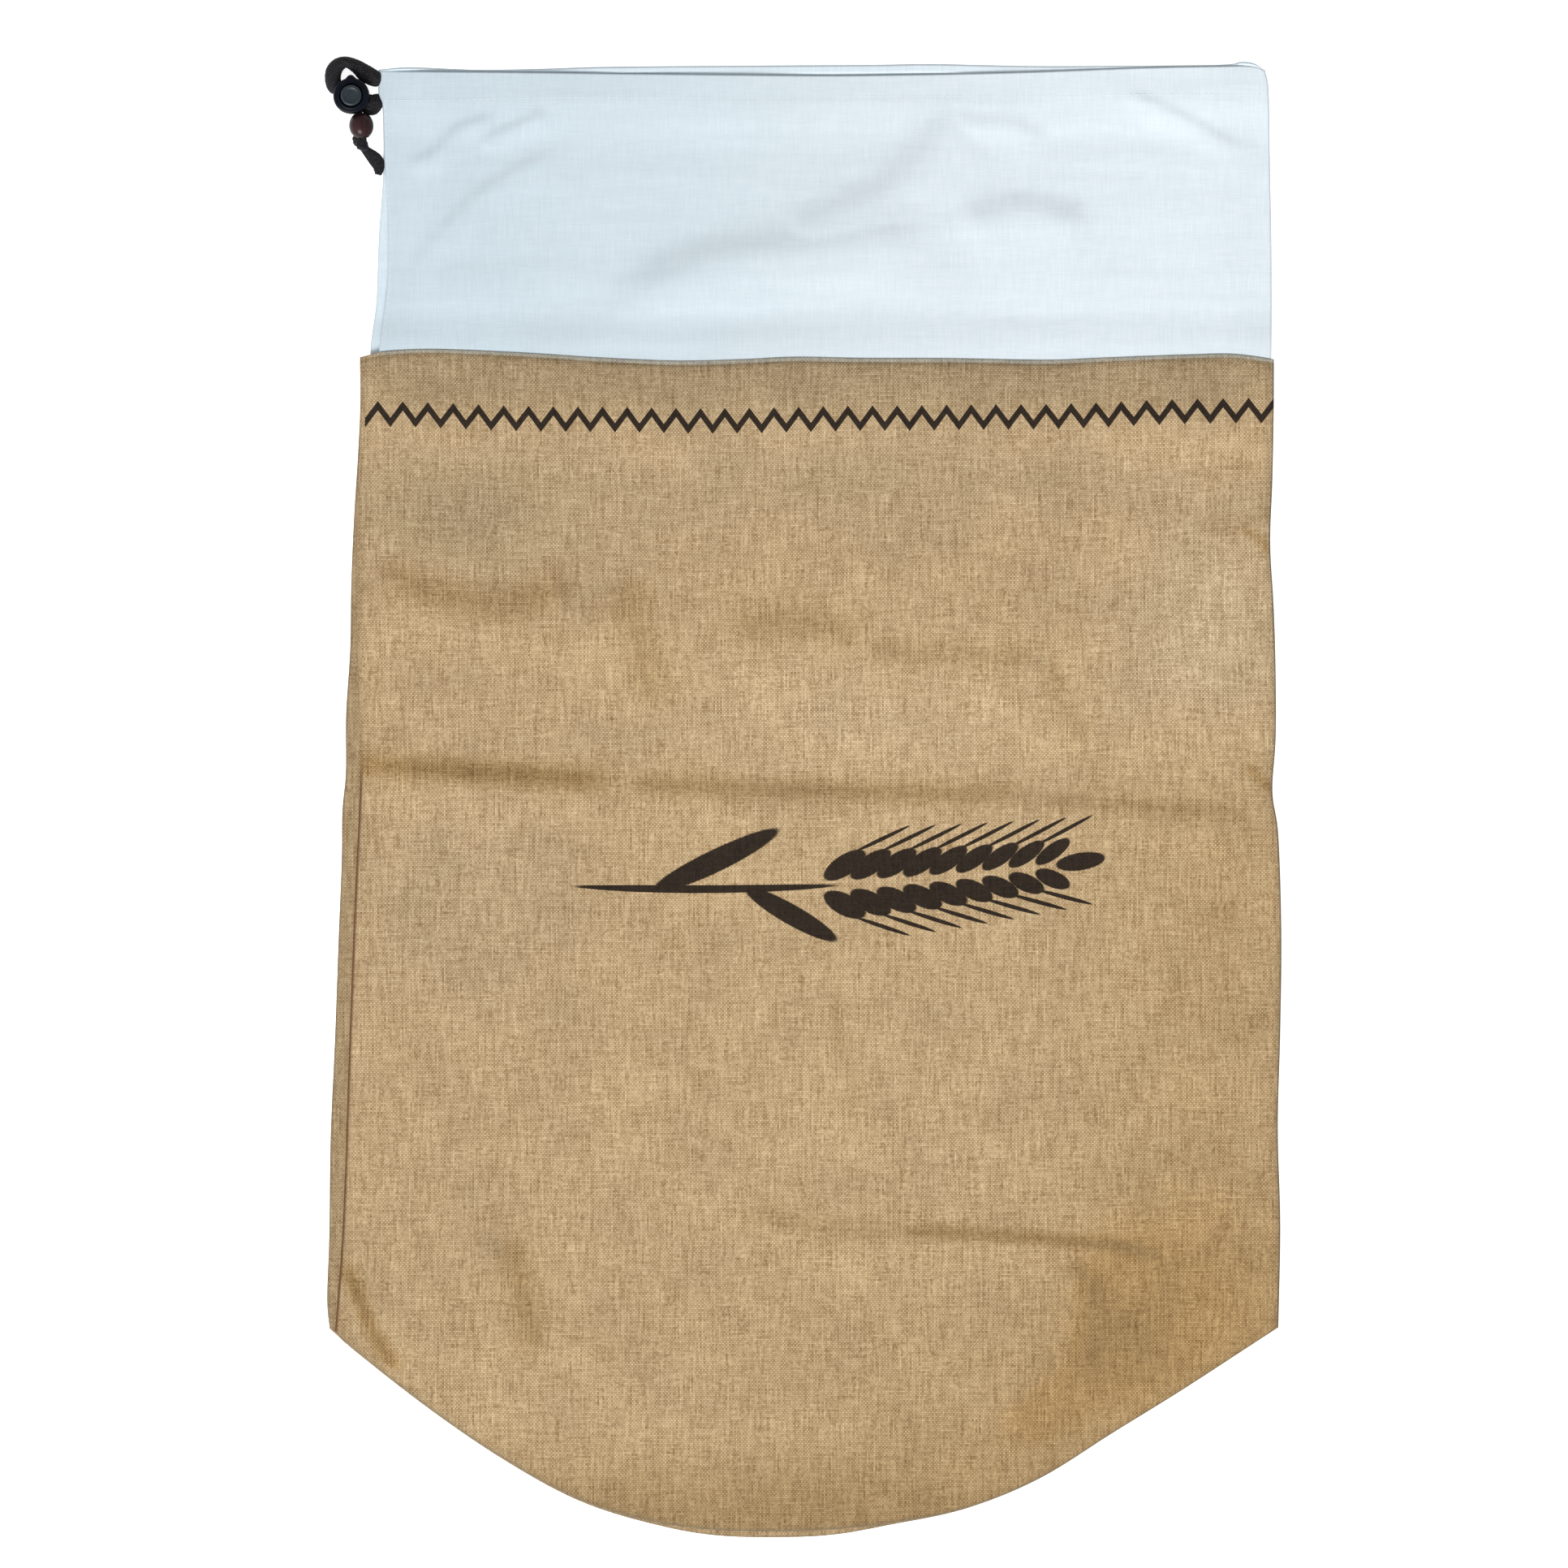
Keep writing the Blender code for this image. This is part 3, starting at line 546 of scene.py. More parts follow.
def woven(tree, spacing, wander):
    """Plain weave over the cloth's own UV map: the threads' height, their tone, how light each
    crossing is, and the map in metres."""
    flat = add_node(tree, "UVMap", uv_map="cloth")
    drift = add_node(tree, "TexNoise", {"Vector": flat, "Scale": 70.0, "Detail": 2.0}, give="Color",
        noise_dimensions="2D")
    drift = add_node(tree, "VectorMath", {0: drift, 1: [wander] * 3}, operation="MULTIPLY")
    counted = add_node(tree, "VectorMath", {0: flat, 1: (1000 / spacing[0], 1000 / spacing[1], 0.0),
        2: drift}, operation="MULTIPLY_ADD")
    thread = add_node(tree, "VectorMath", {0: counted}, operation="FLOOR")
    within = add_node(tree, "VectorMath", {0: counted}, operation="FRACTION")
    turn = add_node(tree, "VectorMath", {0: within, 1: [math.pi] * 3}, operation="MULTIPLY")
    turn = add_node(tree, "VectorMath", {0: turn}, operation="SINE")
    rounds = add_node(tree, "SeparateXYZ", {0: turn}, give="all")
    numbers = add_node(tree, "SeparateXYZ", {0: thread}, give="all")
    places = add_node(tree, "SeparateXYZ", {0: counted}, give="all")
    total = add_node(tree, "Math", {0: numbers[0], 1: numbers[1]}, operation="ADD")
    over = add_node(tree, "Math", {0: total, 1: 1.0}, operation="PINGPONG")
    tops, tones = [], []
    for own, other in ((0, 1), (1, 0)):
        arch = add_node(tree, "Math", {0: rounds[other], 1: 0.45, 2: 0.55}, operation="MULTIPLY_ADD")
        tops.append(add_node(tree, "Math", {0: rounds[own], 1: arch}, operation="MULTIPLY"))
        # Yarn thickness and tone change from thread to thread, and slowly along each thread.
        slow = add_node(tree, "Math", {0: places[other], 1: 0.045}, operation="MULTIPLY")
        where = add_node(tree, "CombineXYZ", {0: numbers[own], 1: slow, 2: 40.0 * own})
        tones.append(add_node(tree, "TexNoise", {"Vector": where, "Scale": 1.25, "Detail": 1.0}))
    height = add_node(tree, "Mix", {"Factor": over, "A": tops[0], "B": tops[1]})
    # Thick places in the warp lift what crosses them, so they show as short upright streaks.
    tone = add_node(tree, "Mix", {"Factor": 0.4, "A": tones[0], "B": tones[1]})
    # Each crossing catches the light in its own way, and warp crossings stand out in patches.
    own = add_node(tree, "TexWhiteNoise", {"Vector": thread}, noise_dimensions="2D")
    patch = add_node(tree, "TexNoise", {"Vector": flat, "Scale": 130.0, "Detail": 2.0},
        noise_dimensions="2D")
    patch = add_node(tree, "MapRange", {"Value": patch, "From Min": 0.4, "From Max": 0.62, "To Min": 0.25,
        "To Max": 0.65})
    crossing = add_node(tree, "Mix", {"Factor": patch, "A": own, "B": over})
    return height, tone, crossing, flat


def shaded_and_tinted(tree, colour, uneven, tint_name, tint, edge_shade_colour):
    """Works the cloth's unevenness and its stored shade, tint and edge into its colour. The stored
    shade is mostly painted shade, and the edge paints a dark line of shade along the rim.
    """
    shade = add_node(tree, "Attribute", give="Fac", attribute_name="shade")
    shade = add_node(tree, "Math", {0: uneven, 1: shade}, operation="MULTIPLY")
    amount = add_node(tree, "Attribute", give="Fac", attribute_name=tint_name)
    tinted = add_node(tree, "Mix", {"Factor": amount, "A": linear("#FFFFFF"), "B": linear(tint)},
        data_type="RGBA")
    colour = add_node(tree, "VectorMath", {0: colour, 1: tinted}, operation="MULTIPLY")
    colour = add_node(tree, "VectorMath", {0: colour, "Scale": shade}, operation="SCALE")
    edge = add_node(tree, "Attribute", give="Fac", attribute_name="edge")
    return add_node(tree, "Mix", {"Factor": edge, "A": colour, "B": linear(edge_shade_colour)}, data_type="RGBA")


def linen_material(name, printed):
    """Linen-look plain weave in natural flax: matt, dry, with lighter slubs, and painted shade in the
    gaps between its threads. The front panel carries a dark water-based print, which sinks into the yarn."""
    made, tree, shader = new_material(name, {"Roughness": 0.92, "IOR": 1.47, "Specular IOR Level": 0.25})
    height, tone, crossing, flat = woven(tree, (WARP, WEFT), 0.9)
    # Painted shade: the threads' height darkens the colour in the gaps between them.
    lit = add_node(tree, "Math", {0: height, 1: 0.3}, operation="MULTIPLY")
    lit = add_node(tree, "Math", {0: tone, 1: 1.05, 2: lit}, operation="MULTIPLY_ADD")
    lit = add_node(tree, "Math", {0: crossing, 1: 0.42, 2: lit}, operation="MULTIPLY_ADD")
    lit = add_node(tree, "Math", {0: lit, 1: 0.48}, operation="SUBTRACT", use_clamp=True)
    colour = add_node(tree, "Mix", {"Factor": lit, "A": linear("#7E603B"), "B": linear("#E8D4B0")},
        data_type="RGBA")
    # Dye and wear leave soft clouds 10 to 60 mm across.
    clouds = add_node(tree, "TexNoise", {"Vector": flat, "Scale": 38.0, "Detail": 3.0},
        noise_dimensions="2D")
    clouds = add_node(tree, "MapRange", {"Value": clouds, "From Min": 0.3, "From Max": 0.7, "To Min": 0.94,
        "To Max": 1.05})
    colour = shaded_and_tinted(tree, colour, clouds, "warm", "#FFEDCB", "#5E5647")
    if printed:
        # Painted shade: a rust-brown dark line in the groove of the left seam, strongest below the pack
        # fold.
        seam = add_node(tree, "Attribute", give="Fac", attribute_name="seam")
        colour = add_node(tree, "Mix", {"Factor": seam, "A": colour, "B": linear("#623C20")},
            data_type="RGBA")
        # Painted light: the turned mouth edge, a folded lip that catches the light, is drawn grey.
        turned_edge = add_node(tree, "Attribute", give="Fac", attribute_name="turned_edge")
        grey = add_node(tree, "Mix", {"Factor": lit, "A": linear("#807E75"), "B": linear("#C4C3B7")},
            data_type="RGBA")
        colour = add_node(tree, "Mix", {"Factor": turned_edge, "A": colour, "B": grey}, data_type="RGBA")
        ink = print_mask(tree, flat, height)
        dark = add_node(tree, "Mix", {"Factor": lit, "A": linear("#0A0503"), "B": linear("#2B201A")},
            data_type="RGBA")
        colour = add_node(tree, "Mix", {"Factor": ink, "A": colour, "B": dark}, data_type="RGBA")
    dress(tree, shader, colour, height, 0.35, 0.00016)
    return made


grid = laid_grid(BACK_LOWER, BACK_UPPER, BACK_LEFT, BAG_RIGHT[:-1] + [(172.9, 162.2)], 3.2)
flat_z = np.zeros_like(grid[2])
back = add_cloth("bag_back", grid, flat_z, flat_z + CLOTH, linen_material("flax_linen", False))
to_rim = from_sides(grid[0], grid[1], BACK_SIZE, "left right foot top")
to_left = from_sides(grid[0], grid[1], BACK_SIZE, "left")
# Painted shade darkens the sheet and draws a grey-brown line along its rim. A strip by the left side is
# also greyed.
set_on_cloth(back, shade=0.92 - 0.10 * (1 - fade(to_rim, 0.0, 1.5)), warm=flat_z + 0.4,
             edge=np.maximum(0.6 * (1 - fade(to_rim, 0.2, 1.0)), 0.2 * (1 - fade(to_left, 3.0, 8.0))))
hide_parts("back_panel")

# ----------------------------------------
# Collar. Two layers of thin bleached cotton, sewn into the mouth and down the sides. The upper
# edge of each is turned and stitched, and the drawcord runs in that hem.
# ----------------------------------------
HEM_EXTRA = 0.7           # what the turned hem adds to a layer
HEM_SEAM_Y = 258.7
MOUTH_Y, STEP_RUN = 165.0, 14.0
COLLAR_SIZE = (330, 120)
COLLAR_LOWER = [(-158.3, 149.0), (171.0, 149.0)]
COLLAR_UPPER = [
    (-157.9, 269.5), (-105.9, 269.0), (-57.9, 268.4), (2.1, 267.8), (32.1, 268.0), (77.1, 268.9),
    (122.1, 270.6), (150.0, 271.2), (164.0, 271.3), (169.6, 269.6),
]
COLLAR_LEFT = [
    (-158.3, 149.0), (-157.7, 165.9), (-156.9, 174.2), (-155.6, 184.1), (-154.6, 195.8),
    (-154.7, 218.3), (-155.6, 232.0), (-156.1, 245.0), (-156.6, 256.5), (-157.9, 260.5),
    (-157.9, 269.5),
]
COLLAR_RIGHT = [
    (171.0, 149.0), (172.0, 165.0), (172.1, 200.0), (171.5, 235.7), (171.0, 262.0), (169.6, 269.6),
]
LINING_LOWER = [(-161.4, 149.0), (170.7, 149.0)]
LINING_UPPER = [
    (-157.9, 269.8), (-146.0, 270.7), (-121.0, 269.8), (-97.0, 270.2), (-73.0, 270.9), (-25.0, 271.3),
    (23.0, 271.6), (47.0, 271.9), (83.0, 271.2), (120.0, 271.3), (154.0, 271.7), (160.5, 272.7),
    (165.5, 272.2), (169.6, 269.4),
]
LINING_LEFT = [
    (-161.4, 149.0), (-161.0, 164.6), (-160.7, 170.0), (-159.4, 179.0), (-158.7, 186.7),
    (-158.2, 201.8), (-157.7, 211.7), (-156.9, 222.0), (-156.2, 235.0), (-156.6, 256.5),
    (-157.9, 260.5), (-157.9, 269.8),
]
LINING_RIGHT = [(x - 0.3, y) for x, y in COLLAR_RIGHT[:-1]] + [(169.6, 269.4)]
# Folds: height, half width of the steep side, width of the gentle side, painted shade, then the line.
# The steep side falls to the left of the line's direction.
COLLAR_FOLDS = [
    (1.3, 7.0, 28.0, 0.08, [(-75.0, 180.0), (-65.4, 187.4), (-53.1, 197.5), (-30.6, 204.8), (-1.2, 209.0),
                            (23.1, 212.0), (50.0, 213.5)]),
    (1.0, 6.0, 22.0, 0.07, [(-12.0, 212.0), (10.0, 219.5), (25.1, 226.0), (34.6, 233.5), (41.5, 242.0),
                            (48.7, 250.6), (55.0, 257.5)]),
    (0.5, 2.8, 12.0, 0.035, [(54.0, 256.0), (61.5, 251.8), (77.1, 250.4), (90.0, 245.0)]),
    (1.0, 5.0, 22.0, 0.07, [(56.0, 216.5), (70.0, 219.5), (82.2, 221.0), (106.0, 216.5)]),
    (0.5, 1.8, 10.0, 0.03, [(116.0, 263.0), (129.0, 258.2), (140.4, 252.8), (150.0, 247.4), (158.0, 243.2),
                            (166.8, 240.8), (176.0, 235.0)]),
    (0.5, 2.4, 12.0, 0.03, [(-147.0, 186.0), (-145.0, 196.0), (-139.8, 205.4), (-130.5, 215.9),
                            (-122.1, 224.0), (-108.3, 233.3), (-90.0, 242.0)]),
    (0.6, 1.8, 8.0, 0.045, [(-148.5, 235.0), (-137.4, 240.3), (-129.3, 248.6), (-114.8, 253.6)]),
    (0.6, 1.8, 8.0, 0.035, [(-121.8, 242.0), (-116.4, 246.3), (-103.5, 251.4), (-97.0, 256.0)]),
    (0.4, 1.4, 5.0, 0.03, [(-154.0, 217.6), (-149.4, 217.2)]),
    (0.4, 1.4, 5.0, 0.03, [(-154.0, 197.0), (-149.0, 196.6)]),
]


def folded(x, y, folds):
    """Height of the folds and the painted shade that darkens the colour along them, over a grid: a
    long soft rise to each crest, and a short fall on its left."""
    rise, dark = np.zeros_like(x), np.ones_like(x)
    for height, steep, gentle, deep, line in folds:
        line = line_at(line, np.linspace(0, 1, 25)) if len(line) > 2 else np.array(line, float)
        best = np.full(x.shape, 1e9)
        signed, share = np.zeros_like(x), np.zeros_like(x)
        for k, (p, q) in enumerate(zip(line, line[1:])):
            run = q - p
            t = ((x - p[0]) * run[0] + (y - p[1]) * run[1]) / (run @ run)
            held = np.clip(t, 0, 1)
            dx, dy = x - p[0] - held * run[0], y - p[1] - held * run[1]
            away = np.hypot(dx, dy)
            near = away < best
            side = np.sign(run[0] * dy - run[1] * dx)
            best = np.where(near, away, best)
            signed = np.where(near, away * side, signed)
            share = np.where(near, (k + held) / (len(line) - 1), share)
        ends = fade(share, 0.0, 0.16) * fade(1 - share, 0.0, 0.16) * 0.85 + 0.15
        beyond = (share <= 0) | (share >= 1)
        ends = np.where(beyond, 0.15 * np.exp(-(best / steep) ** 2), ends)
        shape = np.where(signed > -steep, 1 - fade(signed, -steep, steep),
                         fade(signed, -steep - gentle, -steep))
        rise = np.maximum(rise, height * shape * ends)
        # Painted shade: the colour darkens along each fold's line.
        dark = np.minimum(dark, 1 - deep * np.exp(-(best / (1.15 * steep)) ** 2) * ends)
    return rise, dark


def inner(u, v, margin=0.07, top=0.07):
    """0 on a sheet's rim and 1 inside it."""
    return fade(u, 0, margin) * fade(1 - u, 0, margin) * fade(v, 0, margin) * fade(1 - v, 0, top)


def hem_thickness(v):
    return CLOTH + HEM_EXTRA * fade(v, 0.76, 0.93)


def lining_underside(y):
    """The back layer steps down from the back panel's mouth edge to the table."""
    return (CLOTH + GAP) * (1 - fade(y, MOUTH_Y + 2, MOUTH_Y + 2 + STEP_RUN))


def ripples(x, y, seed, size, height):
    """Slow unevenness of cloth that was never ironed, as a few crossed waves."""
    turns = np.random.default_rng(seed)
    total = np.zeros_like(x)
    for k in range(9):
        angle, phase = turns.uniform(0, math.pi), turns.uniform(0, 2 * math.pi)
        wave = size * turns.uniform(0.5, 1.6)
        total += np.sin(2 * math.pi * (x * math.cos(angle) + y * math.sin(angle)) / wave + phase)
    return height * total / 3


def cotton_material(name):
    """Thin bleached cotton sheeting with a cold blue-white: soft and matt, with threads too fine
    to count and long faint streaks across the bag."""
    made, tree, shader = new_material(name, {"Roughness": 0.85, "IOR": 1.47, "Specular IOR Level": 0.2,
        "Sheen Weight": 0.1})
    # Its real spacing is about 0.3 mm. It is drawn at 0.5 mm so that it still shows.
    height, tone, crossing, flat = woven(tree, (0.5, 0.55), 0.6)
    colour = add_node(tree, "Mix", {"Factor": tone, "A": linear("#CBD8DF"), "B": linear("#E6EEF3")},
        data_type="RGBA")
    long = add_node(tree, "Mapping", {"Vector": flat, "Scale": (18.0, 160.0, 1.0)})
    streaks = add_node(tree, "TexNoise", {"Vector": long, "Scale": 1.0, "Detail": 3.0},
        noise_dimensions="2D")
    streaks = add_node(tree, "MapRange", {"Value": streaks, "From Min": 0.3, "From Max": 0.7,
        "To Min": 0.975, "To Max": 1.02})
    colour = shaded_and_tinted(tree, colour, streaks, "cool", "#F4FBFF", "#8C9496")
    dress(tree, shader, colour, height, 0.2, 0.0001)
    return made


cotton = cotton_material("bleached_cotton")
grid = laid_grid(LINING_LOWER, LINING_UPPER, LINING_LEFT, LINING_RIGHT, 2.0)
u, v, x, y = grid
# The back hem swells where it looks out behind the front one.
swell = 2.4 * fade(y - height_at(x, line_at(COLLAR_UPPER, np.linspace(0, 1, 300))), -1.2, 0.2)
lining = add_cloth("collar_lining", grid, lining_underside(y) + swell, hem_thickness(v), cotton)
to_rim = from_sides(u, v, COLLAR_SIZE, "left right top")
# Painted shade darkens the lining and draws a grey line along its rim.
set_on_cloth(lining, shade=0.98 - 0.06 * (1 - fade(to_rim, 0.0, 1.2)), cool=0.6 - 0.4 * fade(x, -150, 100),
             edge=0.35 * (1 - fade(to_rim, 0.1, 0.6)))
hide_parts("collar_back")

grid = laid_grid(COLLAR_LOWER, COLLAR_UPPER, COLLAR_LEFT, COLLAR_RIGHT, 1.5)
u, v, x, y = grid
rise, dark = folded(x, y, COLLAR_FOLDS)
free = inner(u, v, top=0.001) * fade(y, MOUTH_Y, MOUTH_Y + 2 * STEP_RUN)
under = (lining_underside(y) + hem_thickness(v) + GAP
         + free * np.maximum(LOFT + rise + ripples(x, y, 4, 60, 0.2), 0.0))
# The front hem is hollow under its very edge, where the back one swells.
hollow = 0.7 * hem_thickness(v) * (1 - fade(1 - v, 0.0, 0.014))
collar = add_cloth("collar_cloth", grid, under + hollow, hem_thickness(v) - hollow, cotton)
to_rim = from_sides(u, v, COLLAR_SIZE, "left right top")
# Painted light: the front layer is darker towards the left, and a little darker in its upper left. Painted
# shade: the folds' shade, a faint dark line along the hem seam and a grey line along the rim.
painted_light_falloff = 0.865 + 0.125 * fade(x, -175, 160) - 0.02 * fade(y, 205, 235) * (1 - fade(x, 20, 120))
hem_line = np.exp(-((y - HEM_SEAM_Y) / 0.8) ** 2)
set_on_cloth(collar, shade=dark * painted_light_falloff * (1 - 0.03 * hem_line), cool=0.8 - 0.8 * fade(x, -160, 60),
             edge=0.3 * (1 - fade(to_rim, 0.1, 0.7)))
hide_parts("collar_front")

# ----------------------------------------
# Stitching. White polyester sewing thread, lockstitched at about ten stitches to 25 mm. One row
# holds the turned hem of the collar's front layer, and another runs up its left side seam.
# ----------------------------------------
STITCH_PITCH, STITCH_LONG, STITCH_WIDE = 2.5, 1.9, 0.26


def stitch_tree(name):
    """Geometry nodes that lay one stitch after another along a line of edges."""
    tree = bpy.data.node_groups.new(name, "GeometryNodeTree")
    tree.interface.new_socket("Line", in_out="INPUT", socket_type="NodeSocketGeometry")
    for label in ("Pitch", "Length", "Width"):
        tree.interface.new_socket(label, in_out="INPUT", socket_type="NodeSocketFloat")
    tree.interface.new_socket("Thread", in_out="INPUT", socket_type="NodeSocketMaterial")
    tree.interface.new_socket("Stitches", in_out="OUTPUT", socket_type="NodeSocketGeometry")
    given = add_node(tree, "NodeGroupInput", give="all")
    curve = add_node(tree, "GeometryNodeMeshToCurve", {0: given["Line"]})
    spaced = add_node(tree, "GeometryNodeResampleCurve", {"Curve": curve, "Length": given["Pitch"]},
        mode="LENGTH")
    ahead = add_node(tree, "GeometryNodeInputTangent")
    aim = add_node(tree, "FunctionNodeAlignRotationToVector", {"Vector": ahead}, axis="X")
    half_long = add_node(tree, "Math", {0: given["Length"], 1: 0.5}, operation="MULTIPLY")
    half_wide = add_node(tree, "Math", {0: given["Width"], 1: 0.5}, operation="MULTIPLY")
    size = add_node(tree, "CombineXYZ", {0: half_long, 1: half_wide, 2: half_wide})
    bead_of_thread = add_node(tree, "GeometryNodeMeshUVSphere", {"Segments": 8, "Rings": 6, "Radius": 1.0})
    shaped = add_node(tree, "GeometryNodeTransform", {"Geometry": bead_of_thread, "Scale": size})
    laid = add_node(tree, "GeometryNodeInstanceOnPoints", {"Points": spaced, "Instance": shaped,
        "Rotation": aim})
    real = add_node(tree, "GeometryNodeRealizeInstances", {0: laid})
    done = add_node(tree, "GeometryNodeSetMaterial", {"Geometry": real, "Material": given["Thread"]})
    add_node(tree, "NodeGroupOutput", {0: done})
    return tree


def lay_stitches(name, line, material):
    """Runs the stitch tree along a line in millimetres and keeps the result as a plain mesh."""
    data = bpy.data.meshes.new(name + "_line")
    data.from_pydata((np.asarray(line) * MM).tolist(), [(k, k + 1) for k in range(len(line) - 1)], [])
    guide = bpy.data.objects.new(name + "_line", data)
    bpy.context.scene.collection.objects.link(guide)
    sewn = guide.modifiers.new("stitches", "NODES")
    sewn.node_group = stitches
    values = {"Pitch": STITCH_PITCH * MM, "Length": STITCH_LONG * MM, "Width": STITCH_WIDE * MM,
              "Thread": material}
    for item in stitches.interface.items_tree:
        if item.name in values:
            sewn[item.identifier] = values[item.name]
    graph = bpy.context.evaluated_depsgraph_get()
    made = bpy.data.meshes.new_from_object(guide.evaluated_get(graph))
    bpy.data.objects.remove(guide, do_unlink=True)
    piece = bpy.data.objects.new(name, made)
    made.shade_smooth()
    bpy.context.scene.collection.objects.link(piece)
    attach(piece, "bag")
    return piece


def thread_material():
    """Spun polyester thread, white: matt, with the twist of its plies."""
    made, tree, shader = new_material("white_polyester_thread", {"Roughness": 0.7, "IOR": 1.5})
    place = add_node(tree, "TexCoord", give="Object")
    plies = add_node(tree, "TexWave", {"Vector": place, "Scale": 900.0, "Distortion": 1.0}, give="Fac",
        bands_direction="DIAGONAL")
    colour = add_node(tree, "Mix", {"Factor": plies, "A": linear("#CDD8DF"), "B": linear("#E3EBF0")},
        data_type="RGBA")
    tree.links.new(colour, shader.inputs["Base Color"])
    return made


stitches = stitch_tree("running_stitches")
thread = thread_material()
seam_x = np.linspace(-155.0, 170.0, 160)
order = np.abs(y[:, 0] - HEM_SEAM_Y).argmin()
seam_z = np.interp(seam_x, x[order], (under + hem_thickness(v))[order]) - 0.04
seam_y = HEM_SEAM_Y + 0.006 * (seam_x + 155.0) + 0.25 * np.sin(seam_x / 17.0)
hem_stitches = lay_stitches("hem_stitches", np.column_stack([seam_x, seam_y, seam_z]), thread)
seam_y = np.linspace(171.0, 256.0, 80)
side = line_at(COLLAR_LEFT, np.linspace(0, 1, 300))
seam_x = np.interp(seam_y, side[:, 1], side[:, 0]) + 0.9
column = np.abs(x[len(x) // 2] - (-154.3)).argmin()
seam_z = np.interp(seam_y, y[:, column], (under + hem_thickness(v))[:, column]) - 0.04
side_stitches = lay_stitches("side_stitches", np.column_stack([seam_x, seam_y, seam_z]), thread)

# ----------------------------------------
# Front panel. The same linen-look cloth as the back, sewn to it inside out round the sides and
# the bottom, then turned. Its mouth edge is folded in over the collar. It keeps the creases of
# its packing, and carries the printed zigzag band and the wheat motif.
# ----------------------------------------
TUCK, MOUTH_RUN = 16.0, 28.0   # how deep the mouth edge is folded in, and its rise over the collar
FRONT_SIZE = (345, 430)
FRONT_LOWER = [
    (-174.0, -196.4), (-165.6, -203.9), (-138.6, -225.0), (-111.6, -243.4), (-84.6, -258.1),
    (-57.6, -266.4), (-30.6, -269.9), (5.4, -269.8), (32.4, -267.1), (59.4, -261.6), (86.4, -250.6),
    (113.4, -233.9), (140.4, -217.2), (174.6, -195.0),
]
FRONT_UPPER = [
    (-164.8, 163.5), (-160.5, 164.6), (-155.4, 165.8), (-141.6, 166.5), (-125.4, 166.2),
    (-101.1, 165.0), (-76.8, 163.4), (-48.0, 162.2), (-24.0, 162.7), (-3.9, 163.6), (20.4, 163.2),
    (52.8, 163.1), (89.0, 162.5), (109.5, 163.3), (141.9, 164.5), (158.1, 164.7), (172.9, 162.8),
]
FRONT_LEFT = [
    (-174.0, -196.4), (-171.0, -154.4), (-168.9, -94.4), (-166.6, -34.4), (-164.7, 10.7),
    (-165.7, 55.7), (-165.7, 100.7), (-164.9, 127.6), (-164.5, 145.7), (-164.8, 163.5),
]
FRONT_FOLDS = [
    # pack fold across the middle
    (1.7, 4.2, 22.0, 0.22, [(-184.0, 13.6), (-166.0, 12.8), (-130.0, 11.0), (-75.9, 7.2), (-66.0, 7.0)]),
    (1.4, 4.0, 22.0, 0.13, [(-76.0, 7.4), (-27.9, 4.4), (32.1, 3.0), (88.0, 1.6)]),
    (1.0, 3.0, 18.0, 0.06, [(82.0, 1.8), (107.1, -1.5), (152.0, -4.0), (167.0, -5.5)]),
    # slacker folds above it
    (1.6, 6.5, 24.0, 0.12, [(-160.0, 86.0), (-135.9, 76.6), (-117.9, 73.6), (-99.9, 75.1), (-84.0, 85.0)]),
    (1.2, 6.5, 24.0, 0.08, [(-30.0, 64.0), (2.1, 66.0), (23.1, 57.0)]),
    (1.0, 4.6, 20.0, 0.07, [(20.0, 58.0), (47.1, 53.6), (89.1, 53.4)]),
    (1.0, 4.4, 18.0, 0.06, [(87.0, 54.0), (97.0, 32.0), (103.0, 20.0)]),
    (1.3, 6.0, 20.0, 0.10, [(-67.0, 84.0), (-61.5, 57.0), (-53.0, 33.0)]),
    # second pack fold, low on the right
    (1.0, 4.6, 20.0, 0.06, [(-24.0, -150.5), (2.1, -157.6), (32.1, -159.0)]),
    (1.2, 2.2, 16.0, 0.17, [(28.0, -158.8), (62.1, -160.6), (116.1, -164.8), (136.0, -173.0)]),
    # soft folds below it
    (1.8, 6.0, 14.0, 0.12, [(105.0, -164.0), (106.6, -184.4), (105.4, -201.8), (98.5, -216.0),
                            (73.0, -238.0)]),
    (1.3, 5.4, 16.0, 0.12, [(-109.2, -160.0), (-104.4, -184.4), (-101.4, -206.0)]),
    (0.7, 3.4, 16.0, 0.04, [(10.0, -68.0), (14.1, -94.4), (20.1, -124.0)]),
    # lower left corner
    (0.8, 2.2, 9.0, 0.33, [(-171.0, -170.0), (-168.5, -176.0), (-164.0, -187.0), (-159.0, -198.8),
                           (-154.4, -205.5), (-149.5, -211.5)]),
    # right edge
    (0.6, 4.0, 9.0, 0.06, [(146.0, 106.0), (156.0, 101.0), (163.0, 98.5)]),
    (0.8, 1.3, 6.0, 0.22, [(160.0, 101.5), (164.5, 98.5), (168.5, 95.0), (177.0, 87.0)]),
    (0.8, 1.3, 7.0, 0.22, [(161.5, 14.0), (165.5, 10.0), (169.0, 6.5), (177.0, -2.0)]),
    (0.4, 2.0, 8.0, 0.04, [(146.0, 118.0), (158.0, 122.0), (170.0, 121.0)]),
]
